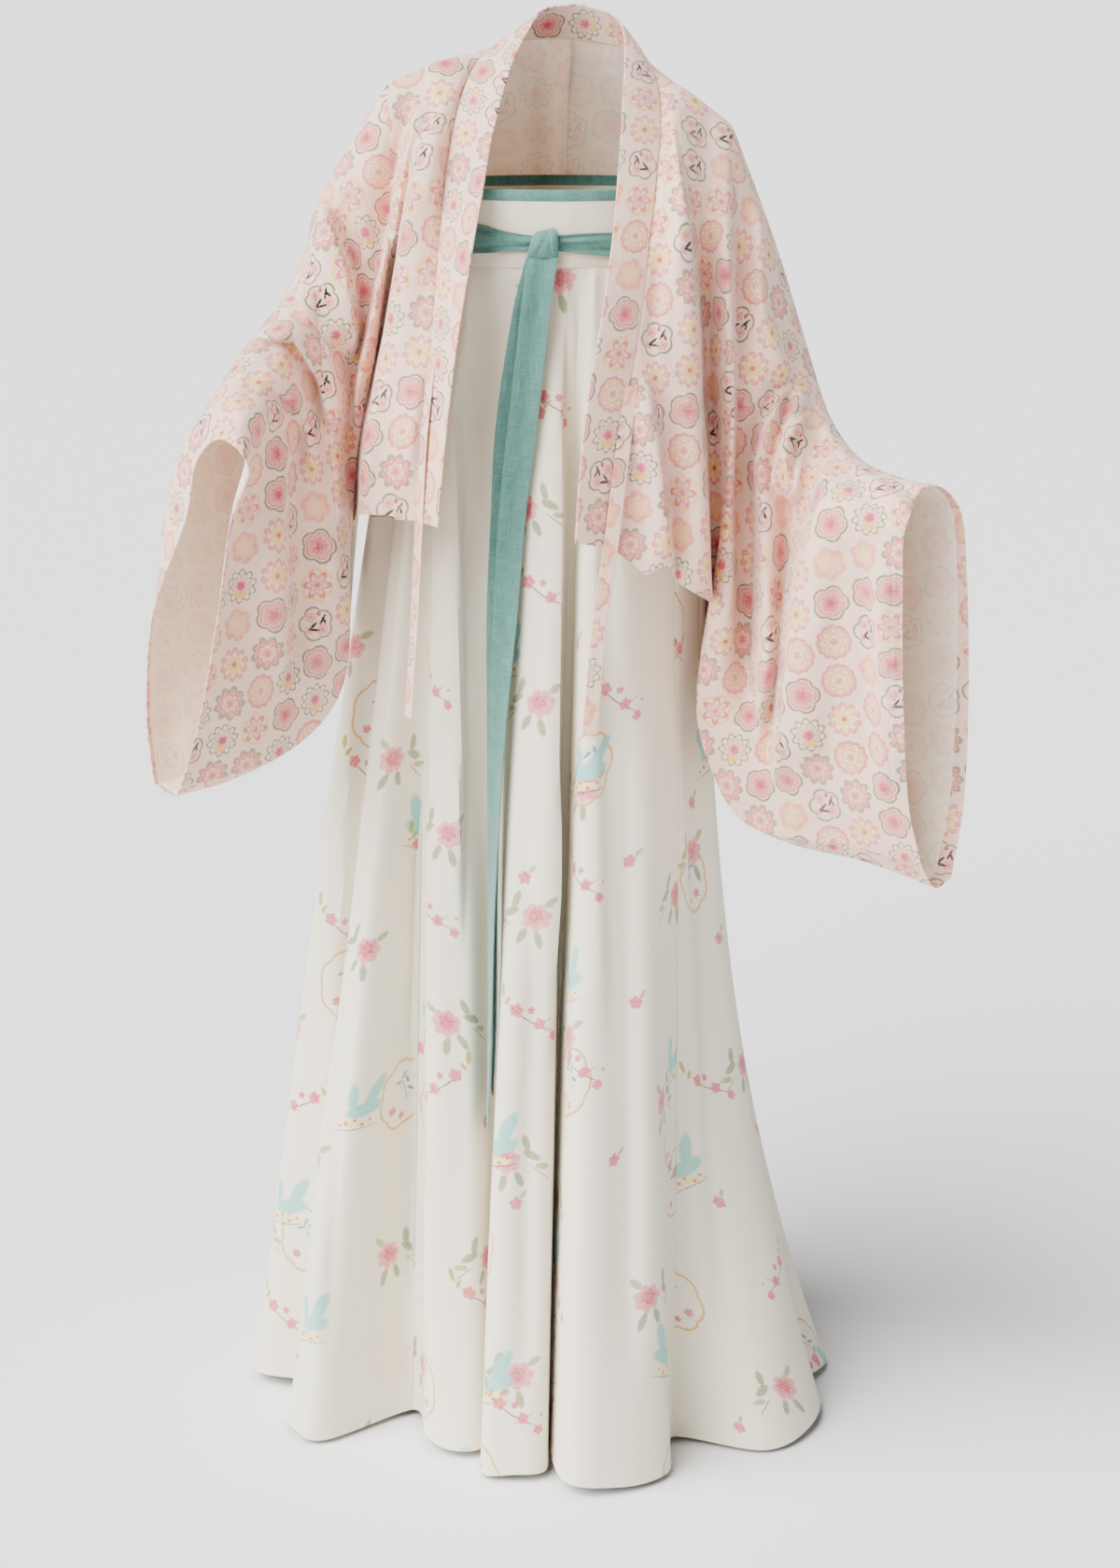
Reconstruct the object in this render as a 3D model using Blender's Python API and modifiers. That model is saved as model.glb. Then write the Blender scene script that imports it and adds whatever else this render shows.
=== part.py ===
"""Two-piece hanfu, worn: an open, wide-sleeved printed jacket over a chest-high gored skirt with a sash.

Metres, +Z up. The front faces -Y and +X is the viewer's right. The origin is where the wearer holds the
garment up, between the shoulders; the floor is HELD_HEIGHT below it. All tables give heights over the floor.
"""

import math
from collections import namedtuple

import bmesh
import bpy
from mathutils import Vector

# Driving dimensions, and the shares and counts that shape the cloth
HELD_HEIGHT = 1.300
CLOTH = 0.0015
DOUBLE_CLOTH = 0.0022
SEAM_GAP = 0.0003
GORE_GAP = 0.0006
ARMHOLE_GAP = 0.0018
COLLAR_GAP = 0.0009
SEAM_ALLOWANCE = 0.004
SEAM_REACH = 0.08
SEAM_SHARE = 0.012

HEM_HEIGHT = 0.008
SKIRT_TOP = 1.127
HEM_CENTRE = (-0.020, -0.030)
BAND_HALF_WIDTH = 0.140
BAND_HALF_DEPTH = 0.104
BAND_HEIGHT = 0.060
BINDING_HEIGHT = 0.010
BAND_SIDES = 60
FOLD_SHOULDER = 0.955
VALLEY_EASE = 1.25
FOLD_SPLITS = (2, 3, 3, 2)
SKIRT_SHARES = (0.0, 0.06, 0.18, 0.36, 0.58, 0.80, 1.0)

SASH_WIDTH = 0.029
SASH_TILT = 0.006
SASH_GAP = 0.0004
KNOT_SIZE = (0.034, 0.013, 0.024)
KNOT_PLACE = (-0.016, 1.150)
KNOT_DEG = 263.0
KNOT_SQUARENESS = 0.72
KNOT_SPREAD_DEG = 34.0
NARROW_AT_KNOT = 0.60

RECESS_DEPTH = 0.020

FRONT_ROWS = 12
NECK_ROWS = 4
BACK_ROWS = 6
PATH_ROWS = FRONT_ROWS + NECK_ROWS + BACK_ROWS
UNDER_ROWS = 4
SLEEVE_STEPS = 3
TAIL_STEPS = 20
TIE_STEPS = 10
UNDER_SAG = 0.006
SWELL = (0.004, 0.003, 0.002)
RECESS_PLACE = 0.4
BODY_COLUMNS = (0.0, 0.12, 0.25, 0.38, 0.5, 0.62, 0.75, 0.88, "seam", "edge")
COLLAR_COLUMNS = (0.0, 0.33, 0.67, 1.0)
COLLAR_START = 0.04

# Each skirt fold: its crest on the hem (degrees round the hem's centre, reach, half width in degrees) and on
# the band, the valley after it, and how late the fold swings out (1 is a straight line from band to hem).
Fold = namedtuple(
    "Fold",
    "name crest_deg reach half_deg band_deg band_half valley_deg valley_reach valley_band ease",
)
FOLDS = (
    Fold("side_right", 2, 0.294, 8, 2, 6, 16, 0.240, 15, 3.20),
    Fold("back_1", 29, 0.278, 8, 28, 6, 42, 0.212, 41, 2.20),
    Fold("back_2", 55, 0.262, 8, 54, 7, 68, 0.205, 67, 1.30),
    Fold("back_3", 80, 0.250, 8, 79, 6, 93, 0.192, 92, 1.00),
    Fold("back_4", 106, 0.258, 9, 105, 7, 119, 0.200, 118, 1.00),
    Fold("back_5", 131, 0.268, 8, 131, 6, 144, 0.214, 144, 1.00),
    Fold("back_6", 157, 0.284, 8, 157, 6, 170, 0.226, 170, 0.95),
    Fold("side_left", 182, 0.292, 6, 184, 6, 196, 0.222, 195, 0.90),
    Fold("front_1", 212, 0.284, 7, 204, 5, 221, 0.168, 211, 1.10),
    Fold("front_2", 246, 0.216, 8, 221, 6, 256, 0.152, 243, 1.00),
    Fold("front_3", 264, 0.250, 7.5, 266, 6, 272, 0.158, 277, 1.00),
    Fold("front_4", 286, 0.284, 11, 288, 6, 308, 0.212, 320, 1.00),
    Fold("front_5", 331, 0.304, 12, 338, 7, 348, 0.252, 350, 2.70),
)
# The gores meet in the valleys after these folds.
GORES = (
    ("skirt_side_right", "front_4", "back_2"),
    ("skirt_back", "back_2", "back_5"),
    ("skirt_side_left", "back_5", "front_1"),
    ("skirt_front", "front_1", "front_4"),
)

# A line down the cloth, a row for each point.
Row = namedtuple("Row", "height x y")

# Collar seam, crest of the front's fold and sleeve seam of each front, from the hem up to the shoulder.
COLLAR_SEAM = {
    "left": (
        Row(0.905, -0.131, -0.166),
        Row(0.975, -0.125, -0.154),
        Row(1.040, -0.119, -0.140),
        Row(1.090, -0.115, -0.124),
        Row(1.150, -0.110, -0.105),
        Row(1.222, -0.103, -0.068),
        Row(1.279, -0.091, -0.026),
        Row(1.312, -0.073, 0.016),
    ),
    "right": (
        Row(0.884, 0.046, -0.188),
        Row(0.960, 0.054, -0.178),
        Row(1.030, 0.063, -0.164),
        Row(1.082, 0.072, -0.148),
        Row(1.157, 0.082, -0.117),
        Row(1.212, 0.089, -0.083),
        Row(1.260, 0.093, -0.042),
        Row(1.296, 0.088, 0.004),
    ),
}
FOLD_LINE = {
    "left": (
        Row(0.905, -0.184, -0.134),
        Row(0.965, -0.178, -0.127),
        Row(1.021, -0.169, -0.118),
        Row(1.089, -0.156, -0.104),
        Row(1.148, -0.146, -0.090),
        Row(1.215, -0.132, -0.066),
        Row(1.276, -0.116, -0.028),
        Row(1.308, -0.113, 0.004),
    ),
    "right": (
        Row(0.827, 0.137, -0.146),
        Row(0.930, 0.132, -0.138),
        Row(1.040, 0.125, -0.124),
        Row(1.110, 0.121, -0.108),
        Row(1.160, 0.119, -0.092),
        Row(1.215, 0.118, -0.064),
        Row(1.258, 0.120, -0.030),
        Row(1.279, 0.122, 0.000),
    ),
}
SLEEVE_SEAM = {
    "left": (
        Row(0.878, -0.199, -0.078),
        Row(0.965, -0.188, -0.086),
        Row(1.060, -0.170, -0.084),
        Row(1.150, -0.159, -0.070),
        Row(1.240, -0.158, -0.040),
        Row(1.288, -0.161, 0.000),
    ),
    "right": (
        Row(0.822, 0.148, -0.084),
        Row(0.930, 0.157, -0.086),
        Row(1.040, 0.159, -0.082),
        Row(1.130, 0.159, -0.068),
        Row(1.205, 0.160, -0.040),
        Row(1.250, 0.161, 0.000),
    ),
}
# Round the back of the neck from the shoulder, then down the middle of the back.
NECK_SEAM = {
    "left": (Row(1.312, -0.073, 0.016), Row(1.324, -0.048, 0.052), Row(1.327, 0.012, 0.072)),
    "right": (Row(1.296, 0.088, 0.004), Row(1.316, 0.070, 0.048), Row(1.327, 0.012, 0.072)),
}
CENTRE_BACK = (
    Row(1.327, 0.012, 0.072),
    Row(1.250, 0.008, 0.100),
    Row(1.100, 0.003, 0.130),
    Row(0.960, 0.000, 0.142),
    Row(0.835, 0.000, 0.152),
)
BACK_LINE = {
    "left": (
        Row(1.308, -0.113, 0.004),
        Row(1.265, -0.112, 0.058),
        Row(1.120, -0.112, 0.108),
        Row(0.960, -0.118, 0.128),
        Row(0.842, -0.124, 0.138),
    ),
    "right": (
        Row(1.279, 0.122, 0.000),
        Row(1.240, 0.116, 0.056),
        Row(1.110, 0.112, 0.106),
        Row(0.960, 0.112, 0.126),
        Row(0.838, 0.114, 0.136),
    ),
}
BACK_SEAM = {
    "left": (
        Row(1.288, -0.161, 0.000),
        Row(1.236, -0.161, 0.046),
        Row(1.120, -0.164, 0.082),
        Row(0.980, -0.180, 0.096),
        Row(0.880, -0.199, 0.084),
    ),
    "right": (
        Row(1.250, 0.161, 0.000),
        Row(1.200, 0.160, 0.046),
        Row(1.090, 0.158, 0.082),
        Row(0.950, 0.156, 0.096),
        Row(0.826, 0.158, 0.080),
    ),
}
SIDE_SEAM_FOOT = {"left": Row(0.864, -0.207, 0.0), "right": Row(0.808, 0.160, -0.004)}

# The collar band's free edge, from the hem to the back of the neck.
COLLAR_EDGE = {
    "left": (
        Row(0.905, -0.110, -0.203),
        Row(0.975, -0.103, -0.190),
        Row(1.063, -0.093, -0.168),
        Row(1.149, -0.079, -0.138),
        Row(1.200, -0.069, -0.114),
        Row(1.250, -0.060, -0.080),
        Row(1.305, -0.045, -0.028),
        Row(1.345, -0.024, 0.018),
    ),
    "right": (
        Row(0.892, 0.013, -0.212),
        Row(0.960, 0.018, -0.203),
        Row(1.030, 0.027, -0.188),
        Row(1.090, 0.037, -0.169),
        Row(1.150, 0.046, -0.140),
        Row(1.205, 0.052, -0.107),
        Row(1.270, 0.057, -0.060),
        Row(1.331, 0.059, 0.012),
    ),
}
NECK_EDGE = {
    "left": (Row(1.345, -0.024, 0.018), Row(1.356, -0.010, 0.042), Row(1.360, 0.016, 0.052)),
    "right": (Row(1.331, 0.059, 0.012), Row(1.352, 0.046, 0.042), Row(1.360, 0.016, 0.052)),
}

# Each sleeve from the armhole to the cuff: the ridge along the arm, the foot of the hanging cloth, how far
# the loop is turned towards the side, and how far the cloth stands off that line in front and behind.
Station = namedtuple(
    "Station",
    "ridge_x ridge_y ridge_height foot_x foot_y foot_height turn_deg front front_arm back back_high back_arm",
)
SLEEVES = {
    "left": (
        Station(-0.225, -0.004, 1.186, -0.199, -0.080, 0.800, 4, 0.052, 0.045, 0.052, 0.052, 0.045),
        Station(-0.240, -0.030, 1.130, -0.206, -0.084, 0.752, 12, 0.050, 0.044, 0.050, 0.050, 0.043),
        Station(-0.260, -0.082, 1.088, -0.226, -0.096, 0.714, 26, 0.046, 0.042, 0.052, 0.050, 0.043),
        Station(-0.284, -0.140, 1.055, -0.260, -0.124, 0.684, 36, 0.040, 0.042, 0.056, 0.054, 0.044),
        Station(-0.298, -0.186, 1.024, -0.302, -0.160, 0.668, 42, 0.034, 0.044, 0.062, 0.060, 0.045),
        Station(-0.304, -0.210, 1.006, -0.336, -0.186, 0.662, 45, 0.030, 0.045, 0.070, 0.068, 0.045),
        Station(-0.300, -0.226, 0.988, -0.356, -0.206, 0.662, 46, 0.026, 0.045, 0.060, 0.034, 0.032),
    ),
    "right": (
        Station(0.204, -0.004, 1.138, 0.139, -0.086, 0.718, 4, 0.052, 0.045, 0.052, 0.052, 0.045),
        Station(0.238, -0.018, 1.030, 0.152, -0.092, 0.648, 12, 0.050, 0.044, 0.048, 0.048, 0.042),
        Station(0.250, -0.064, 0.984, 0.184, -0.104, 0.608, 28, 0.046, 0.042, 0.046, 0.046, 0.040),
        Station(0.270, -0.122, 0.956, 0.228, -0.128, 0.592, 40, 0.042, 0.040, 0.045, 0.045, 0.040),
        Station(0.302, -0.172, 0.946, 0.286, -0.160, 0.586, 48, 0.040, 0.038, 0.045, 0.045, 0.040),
        Station(0.334, -0.200, 0.942, 0.350, -0.192, 0.570, 51, 0.040, 0.036, 0.045, 0.045, 0.040),
    ),
}
# Round a sleeve's loop, on each side of the ridge: the height over the foot as a share, which of the
# station's widths holds there, and the share of it that the cloth reaches.
Loop = namedtuple("Loop", "up front back out")
SLEEVE_LOOP = (
    Loop(0.00, "front", "back", 0.45),
    Loop(0.20, "front", "back", 0.85),
    Loop(0.48, "front", "back", 1.00),
    Loop(0.76, "front", "back_high", 0.98),
    Loop(0.93, "front_arm", "back_arm", 0.90),
    Loop(1.00, "front_arm", "back_arm", 0.00),
)

# Main folds of the jacket's hanging cloth, seen from the front: a line from top to foot with a bow to the
# side, how far the cloth stands out, how wide it rounds away, and the side where it drops off sharply. A fold
# runs past its ends by a share of its length, fades in and out over another, and dies away near the shoulder.
Crease = namedtuple("Crease", "x_top height_top x_foot height_foot bow depth soft drop")
SHARP = 0.009
OVERRUN = 0.10
FADE = 0.25
SHOULDER_ROWS = 3.0
FRONT_CREASES = {
    "left": (
        Crease(-0.131, 1.280, -0.157, 1.130, 0.000, 0.007, 0.012, -1),
        Crease(-0.166, 1.230, -0.192, 0.990, 0.000, 0.012, 0.013, -1),
        Crease(-0.224, 1.185, -0.190, 1.050, 0.008, 0.014, 0.030, 1),
        Crease(-0.271, 1.068, -0.219, 0.985, 0.012, 0.010, 0.028, 1),
        Crease(-0.206, 1.000, -0.218, 0.780, 0.000, 0.010, 0.016, 1),
        Crease(-0.240, 0.960, -0.262, 0.690, 0.006, 0.008, 0.022, -1),
    ),
    "right": (
        Crease(0.108, 1.234, 0.120, 1.118, 0.000, 0.007, 0.012, 1),
        Crease(0.112, 1.000, 0.098, 0.790, 0.000, 0.013, 0.030, -1),
        Crease(0.160, 1.210, 0.160, 0.747, 0.000, 0.010, 0.020, 1),
        Crease(0.206, 1.007, 0.190, 0.700, -0.009, 0.014, 0.024, -1),
        Crease(0.254, 0.982, 0.214, 0.905, -0.018, 0.008, 0.018, -1),
        Crease(0.255, 0.936, 0.211, 0.700, -0.012, 0.014, 0.030, -1),
    ),
}
BACK_CREASES = {
    "left": (
        Crease(-0.050, 1.210, -0.060, 0.820, 0.000, 0.009, 0.024, 1),
        Crease(-0.140, 1.200, -0.150, 0.850, 0.006, 0.010, 0.022, -1),
        Crease(-0.215, 1.120, -0.214, 0.780, 0.008, 0.012, 0.024, 1),
        Crease(-0.268, 1.030, -0.282, 0.680, 0.006, 0.010, 0.026, -1),
    ),
    "right": (
        Crease(0.052, 1.200, 0.064, 0.820, 0.000, 0.010, 0.022, -1),
        Crease(0.136, 1.190, 0.140, 0.830, 0.006, 0.009, 0.024, 1),
        Crease(0.205, 1.050, 0.192, 0.700, -0.008, 0.012, 0.026, -1),
        Crease(0.262, 0.930, 0.256, 0.620, -0.006, 0.010, 0.024, 1),
    ),
}

# The sash's hanging tails and the jacket's ties: their two edges at each height.
Strip = namedtuple("Strip", "height left_x left_y right_x right_y")
SASH_TAILS = {
    "front": (
        Strip(1.1376, -0.030, -0.1131, -0.002, -0.1131),
        Strip(1.090, -0.036, -0.1215, -0.009, -0.1230),
        Strip(0.986, -0.048, -0.1290, -0.021, -0.1320),
        Strip(0.900, -0.057, -0.1370, -0.032, -0.1430),
        Strip(0.809, -0.062, -0.1450, -0.040, -0.1560),
        Strip(0.700, -0.066, -0.1500, -0.051, -0.1720),
        Strip(0.560, -0.068, -0.1600, -0.060, -0.1870),
        Strip(0.440, -0.068, -0.1720, -0.064, -0.2000),
        Strip(0.330, -0.0695, -0.1840, -0.068, -0.2120),
    ),
    "rear": (
        Strip(1.1376, -0.031, -0.1108, -0.004, -0.1108),
        Strip(1.085, -0.044, -0.1165, -0.020, -0.1180),
        Strip(0.986, -0.059, -0.1210, -0.034, -0.1260),
        Strip(0.900, -0.064, -0.1260, -0.041, -0.1350),
        Strip(0.809, -0.068, -0.1320, -0.048, -0.1470),
        Strip(0.700, -0.068, -0.1410, -0.054, -0.1620),
        Strip(0.560, -0.0675, -0.1500, -0.0585, -0.1760),
        Strip(0.440, -0.0645, -0.1630, -0.0600, -0.1900),
        Strip(0.360, -0.0660, -0.1720, -0.0635, -0.1970),
    ),
}
TIES = {
    "left": (
        Strip(1.045, -0.1198, -0.1409, -0.1132, -0.1506),
        Strip(0.980, -0.1265, -0.1580, -0.1205, -0.1705),
        Strip(0.900, -0.1320, -0.1720, -0.1250, -0.1840),
        Strip(0.810, -0.1370, -0.1780, -0.1300, -0.1900),
        Strip(0.725, -0.1430, -0.1800, -0.1365, -0.1920),
    ),
    "right": (
        Strip(1.028, 0.0592, -0.1692, 0.0700, -0.1650),
        Strip(0.970, 0.0500, -0.1840, 0.0630, -0.1800),
        Strip(0.900, 0.0410, -0.1960, 0.0545, -0.1930),
        Strip(0.810, 0.0290, -0.2000, 0.0425, -0.1980),
        Strip(0.712, 0.0200, -0.2010, 0.0335, -0.1990),
    ),
}

COLOURS = {
    "printed_cotton": (0.80, 0.62, 0.57),
    "ivory_crepe": (0.84, 0.81, 0.75),
    "green_linen": (0.16, 0.36, 0.31),
}


def between(a, b, share):
    """The place at this share of the way from a to b."""
    return a + (b - a) * share


def spline(p0, p1, p2, p3, share):
    """One span of a smooth curve, from p1 to p2."""
    return 0.5 * (
        2 * p1
        + (p2 - p0) * share
        + (2 * p0 - 5 * p1 + 4 * p2 - p3) * share**2
        + (3 * p1 - p0 - 3 * p2 + p3) * share**3
    )


def along(points, share):
    """The place at this share of a smooth open curve through the points."""
    place = min(max(share, 0.0), 1.0) * (len(points) - 1)
    index = min(int(place), len(points) - 2)
    before = points[index - 1] if index else 2 * points[0] - points[1]
    ahead = 2 * points[-1] - points[-2]
    after = points[index + 2] if index + 2 < len(points) else ahead
    return spline(before, points[index], points[index + 1], after, place - index)


def places(rows):
    """A table of rows as points."""
    return [Vector((row.x, row.y, row.height)) for row in rows]


def band_point(degrees, out=0.0):
    """A place on the chest band's ring, seen from above."""
    angle = math.radians(degrees)
    return Vector(
        (
            (BAND_HALF_WIDTH + out) * math.cos(angle),
            (BAND_HALF_DEPTH + out) * math.sin(angle),
        )
    )


def hem_point(degrees, reach):
    """A place on the hem, seen from above."""
    angle = math.radians(degrees)
    return Vector(
        (HEM_CENTRE[0] + reach * math.cos(angle), HEM_CENTRE[1] + reach * math.sin(angle))
    )


def skirt_ring(share):
    """The points that shape the skirt's ring at a share of the way from the band to the hem, four a fold."""
    ring = []
    for fold in FOLDS:
        swing = share**fold.ease
        for side in (-1, 0, 1):
            reach = fold.reach * (FOLD_SHOULDER if side else 1.0)
            hem = hem_point(fold.crest_deg + side * fold.half_deg, reach)
            ring.append(between(band_point(fold.band_deg + side * fold.band_half), hem, swing))
        hem = hem_point(fold.valley_deg, fold.valley_reach)
        sunk = share ** (fold.ease * VALLEY_EASE)
        ring.append(between(band_point(fold.valley_band), hem, sunk))
    return ring


def skirt_point(place, share):
    """A place on the skirt: place counts the ring's points round from the first fold's shoulder."""
    ring = skirt_ring(share)
    count = len(ring)
    index = math.floor(place)
    near = [ring[(index + step) % count] for step in (-1, 0, 1, 2)]
    flat = spline(*near, place - index)
    return Vector((flat.x, flat.y, between(SKIRT_TOP, HEM_HEIGHT, share)))


def gore_columns(first, last):
    """The places round the ring of a gore that runs from the valley after one fold to that after another."""
    names = [fold.name for fold in FOLDS]
    start = 4 * names.index(first) + 3
    end = 4 * names.index(last) + 3
    if end < start:
        end += 4 * len(FOLDS)
    columns = []
    for index in range(start, end):
        splits = FOLD_SPLITS[(index + 1) % 4]
        columns += [index + step / splits for step in range(splits)]
    return columns + [end]


def front_back(front, neck, back, row):
    """A place on a line that goes up the front, past the neck and down the back; row counts the cloth's rows."""
    if row <= FRONT_ROWS:
        return along(places(front), row / FRONT_ROWS)
    if neck and row <= FRONT_ROWS + NECK_ROWS:
        return along(places(neck), (row - FRONT_ROWS) / NECK_ROWS)
    passed = FRONT_ROWS + (NECK_ROWS if neck else 0)
    return along(places(back), (row - passed) / (PATH_ROWS - passed))


def eased(share):
    """A smooth step from 0 to 1."""
    share = min(max(share, 0.0), 1.0)
    return share * share * (3.0 - 2.0 * share)


def crease_lift(crease, place):
    """How far a crease lifts the cloth at a place seen from the front."""
    run = crease.x_foot - crease.x_top
    fall = crease.height_foot - crease.height_top
    length = math.hypot(run, fall)
    across = place.x - crease.x_top
    down = place.z - crease.height_top
    share = (across * run + down * fall) / length**2
    bow = 4.0 * crease.bow * share * (1.0 - share)
    aside = (down * run - across * fall) / length - bow
    width = SHARP if aside * crease.drop > 0 else crease.soft
    fade = eased((share + OVERRUN) / FADE) * eased((1.0 + OVERRUN - share) / FADE)
    return crease.depth * fade * math.exp(-((aside / width) ** 2))


def creased(side, place, row):
    """A place on the jacket, moved out by its main folds, which die away over the shoulder and arm."""
    creases = FRONT_CREASES[side] if row <= FRONT_ROWS else BACK_CREASES[side]
    way = -1.0 if row <= FRONT_ROWS else 1.0
    lift = sum(crease_lift(crease, place) for crease in creases)
    near_top = eased(abs(row - FRONT_ROWS) / SHOULDER_ROWS)
    return place + Vector((0.0, way * lift * near_top, 0.0))


def body_point(side, share, row):
    """A place on half the jacket's body: share goes from the collar or middle of the back to the sleeve seam."""
    inner = front_back(COLLAR_SEAM[side], NECK_SEAM[side], CENTRE_BACK, row)
    crest = front_back(FOLD_LINE[side], None, BACK_LINE[side], row)
    outer = front_back(SLEEVE_SEAM[side], None, BACK_SEAM[side], row)
    on_front = min(max(1.0 - row / (FRONT_ROWS - 2), 0.0), 1.0)
    way = 1 if row > FRONT_ROWS else -1
    swell = Vector((0.0, way * (SWELL[0] + SWELL[1] * on_front), SWELL[2]))
    dip = Vector((0.0, RECESS_DEPTH * min(1.0, 2 * on_front), 0.0))
    middle = between(inner, crest, 0.5) + swell
    recess = between(crest, outer, RECESS_PLACE) + dip
    place = along([inner, middle, crest, recess, outer], share)
    return creased(side, place, row) if share > 0.0 else place


def sleeve_loop_point(station, row):
    """A place on one loop of a sleeve, with rows as in the body's outer edge."""
    ridge = Vector((station.ridge_x, station.ridge_y, station.ridge_height))
    foot = Vector((station.foot_x, station.foot_y, station.foot_height))
    turn = math.radians(station.turn_deg) * (1 if station.ridge_x > 0 else -1)
    across = Vector((math.sin(turn), math.cos(turn), 0.0))
    if row <= FRONT_ROWS:
        share = row / FRONT_ROWS
        outs = [-step.out * getattr(station, step.front) for step in SLEEVE_LOOP]
    else:
        share = (PATH_ROWS - row) / (PATH_ROWS - FRONT_ROWS)
        outs = [step.out * getattr(station, step.back) for step in SLEEVE_LOOP]
    loop = [Vector((step.up, out)) for step, out in zip(SLEEVE_LOOP, outs)]
    up, out = along(loop, share)
    return between(foot, ridge, up) + across * out


def sleeve_point(side, share, row):
    """A place on a sleeve: share goes from armhole to cuff, and rows past the last run under the sleeve."""
    if row > PATH_ROWS:
        back = sleeve_point(side, share, PATH_ROWS)
        front = sleeve_point(side, share, 0)
        feet = places([SIDE_SEAM_FOOT[side]])
        for station in SLEEVES[side]:
            feet.append(Vector((station.foot_x, station.foot_y, station.foot_height - UNDER_SAG)))
        return along([back, along(feet, share), front], (row - PATH_ROWS) / UNDER_ROWS)
    root = front_back(SLEEVE_SEAM[side], None, BACK_SEAM[side], row)
    loops = [sleeve_loop_point(station, row) for station in SLEEVES[side]]
    return creased(side, along([root, *loops], share), row)


def collar_point(share, row):
    """A place on the collar band: rows go from the left hem round the neck to the right hem."""
    half = FRONT_ROWS + NECK_ROWS
    side = "left" if row <= half else "right"
    row = row if row <= half else 2 * half - row
    seam = front_back(COLLAR_SEAM[side], NECK_SEAM[side], CENTRE_BACK, row)
    edge = front_back(COLLAR_EDGE[side], NECK_EDGE[side], NECK_EDGE[side], row)
    start = seam + (edge - seam).normalized() * COLLAR_GAP
    return between(start, edge, share)


def strip_point(strips, across, share):
    """A place on a hanging strip: across goes from its left edge to its right."""
    left = along([Vector((strip.left_x, strip.left_y, strip.height)) for strip in strips], share)
    right = along([Vector((strip.right_x, strip.right_y, strip.height)) for strip in strips], share)
    return between(left, right, across)


def material(name):
    """A plain cloth material, made once."""
    made = bpy.data.materials.get(name) or bpy.data.materials.new(name)
    made.use_nodes = True
    shader = made.node_tree.nodes["Principled BSDF"]
    shader.inputs["Base Color"].default_value = (*COLOURS[name], 1.0)
    shader.inputs["Roughness"].default_value = 0.85
    shader.inputs["Metallic"].default_value = 0.0
    return made


def place_object(name, mesh, cloth, collection):
    """Puts a mesh in the scene with its material, its heights counted from the floor."""
    part = bpy.data.objects.new(name, mesh)
    part.location = (0.0, 0.0, -HELD_HEIGHT)
    mesh.materials.append(material(cloth))
    collection.objects.link(part)
    return part


def sheet(name, point, columns, rows, cloth, collection, thickness=CLOTH):
    """A cloth wall: a grid moved to point(column, row), its ends joined where they meet, then thickened."""
    work = bmesh.new()
    bmesh.ops.create_grid(work, x_segments=len(columns) - 1, y_segments=len(rows) - 1, size=1.0)
    for corner in work.verts:
        column = round((corner.co.x + 1.0) / 2.0 * (len(columns) - 1))
        row = round((corner.co.y + 1.0) / 2.0 * (len(rows) - 1))
        corner.co = point(columns[column], rows[row])
    bmesh.ops.remove_doubles(work, verts=work.verts, dist=0.00001)
    mesh = bpy.data.meshes.new(name)
    work.to_mesh(mesh)
    work.free()
    part = place_object(name, mesh, cloth, collection)
    wall = part.modifiers.new("Wall", "SOLIDIFY")
    wall.thickness = thickness
    wall.offset = 0.0
    return part


def seam_place(root, before, after, way, gap):
    """A place in the last two columns before a seam: way is 1 at the edge and 2 in from it, less for the end."""
    tangent = ((root - before).normalized() + (after - root).normalized()).normalized()
    distance = gap / 2 if abs(way) == 1 else SEAM_ALLOWANCE
    return root + tangent * math.copysign(distance, way)


def build_skirt(collection):
    """The four gores, the chest band and its binding."""
    for name, first, last in GORES:
        inner = gore_columns(first, last)
        start, end = inner[0], inner[-1]
        columns = [(start, 1), (start, 2), *((place, 0) for place in inner[1:-1]), (end, -2), (end, -1)]

        def on_gore(column, share):
            place, way = column
            root = skirt_point(place, share)
            if not way:
                return root
            before = skirt_point(place - SEAM_REACH, share)
            after = skirt_point(place + SEAM_REACH, share)
            return seam_place(root, before, after, way, GORE_GAP)

        sheet(name, on_gore, columns, SKIRT_SHARES, "ivory_crepe", collection)
    degrees = [360 / BAND_SIDES * step for step in range(BAND_SIDES + 1)]

    def on_band(angle, height):
        return Vector((*band_point(angle), height))

    band_foot = SKIRT_TOP + 2 * SEAM_GAP
    band_head = band_foot + BAND_HEIGHT
    rows = [band_foot, (band_foot + band_head) / 2, band_head]
    sheet("chest_band", on_band, degrees, rows, "ivory_crepe", collection)
    rows = [band_head + SEAM_GAP, band_head + SEAM_GAP + BINDING_HEIGHT]
    sheet("band_binding", on_band, degrees, rows, "green_linen", collection, DOUBLE_CLOTH)


def sash_height(angle, across):
    """The height of the sash's edges: it narrows and lifts towards the knot in front."""
    from_knot = abs((angle - KNOT_DEG + 180.0) % 360.0 - 180.0)
    spread = eased(from_knot / KNOT_SPREAD_DEG)
    middle = KNOT_PLACE[1] - SASH_TILT * math.cos(math.radians(angle)) * spread
    half = between(NARROW_AT_KNOT, 1.0, spread) * SASH_WIDTH / 2
    return middle + across * half


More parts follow.
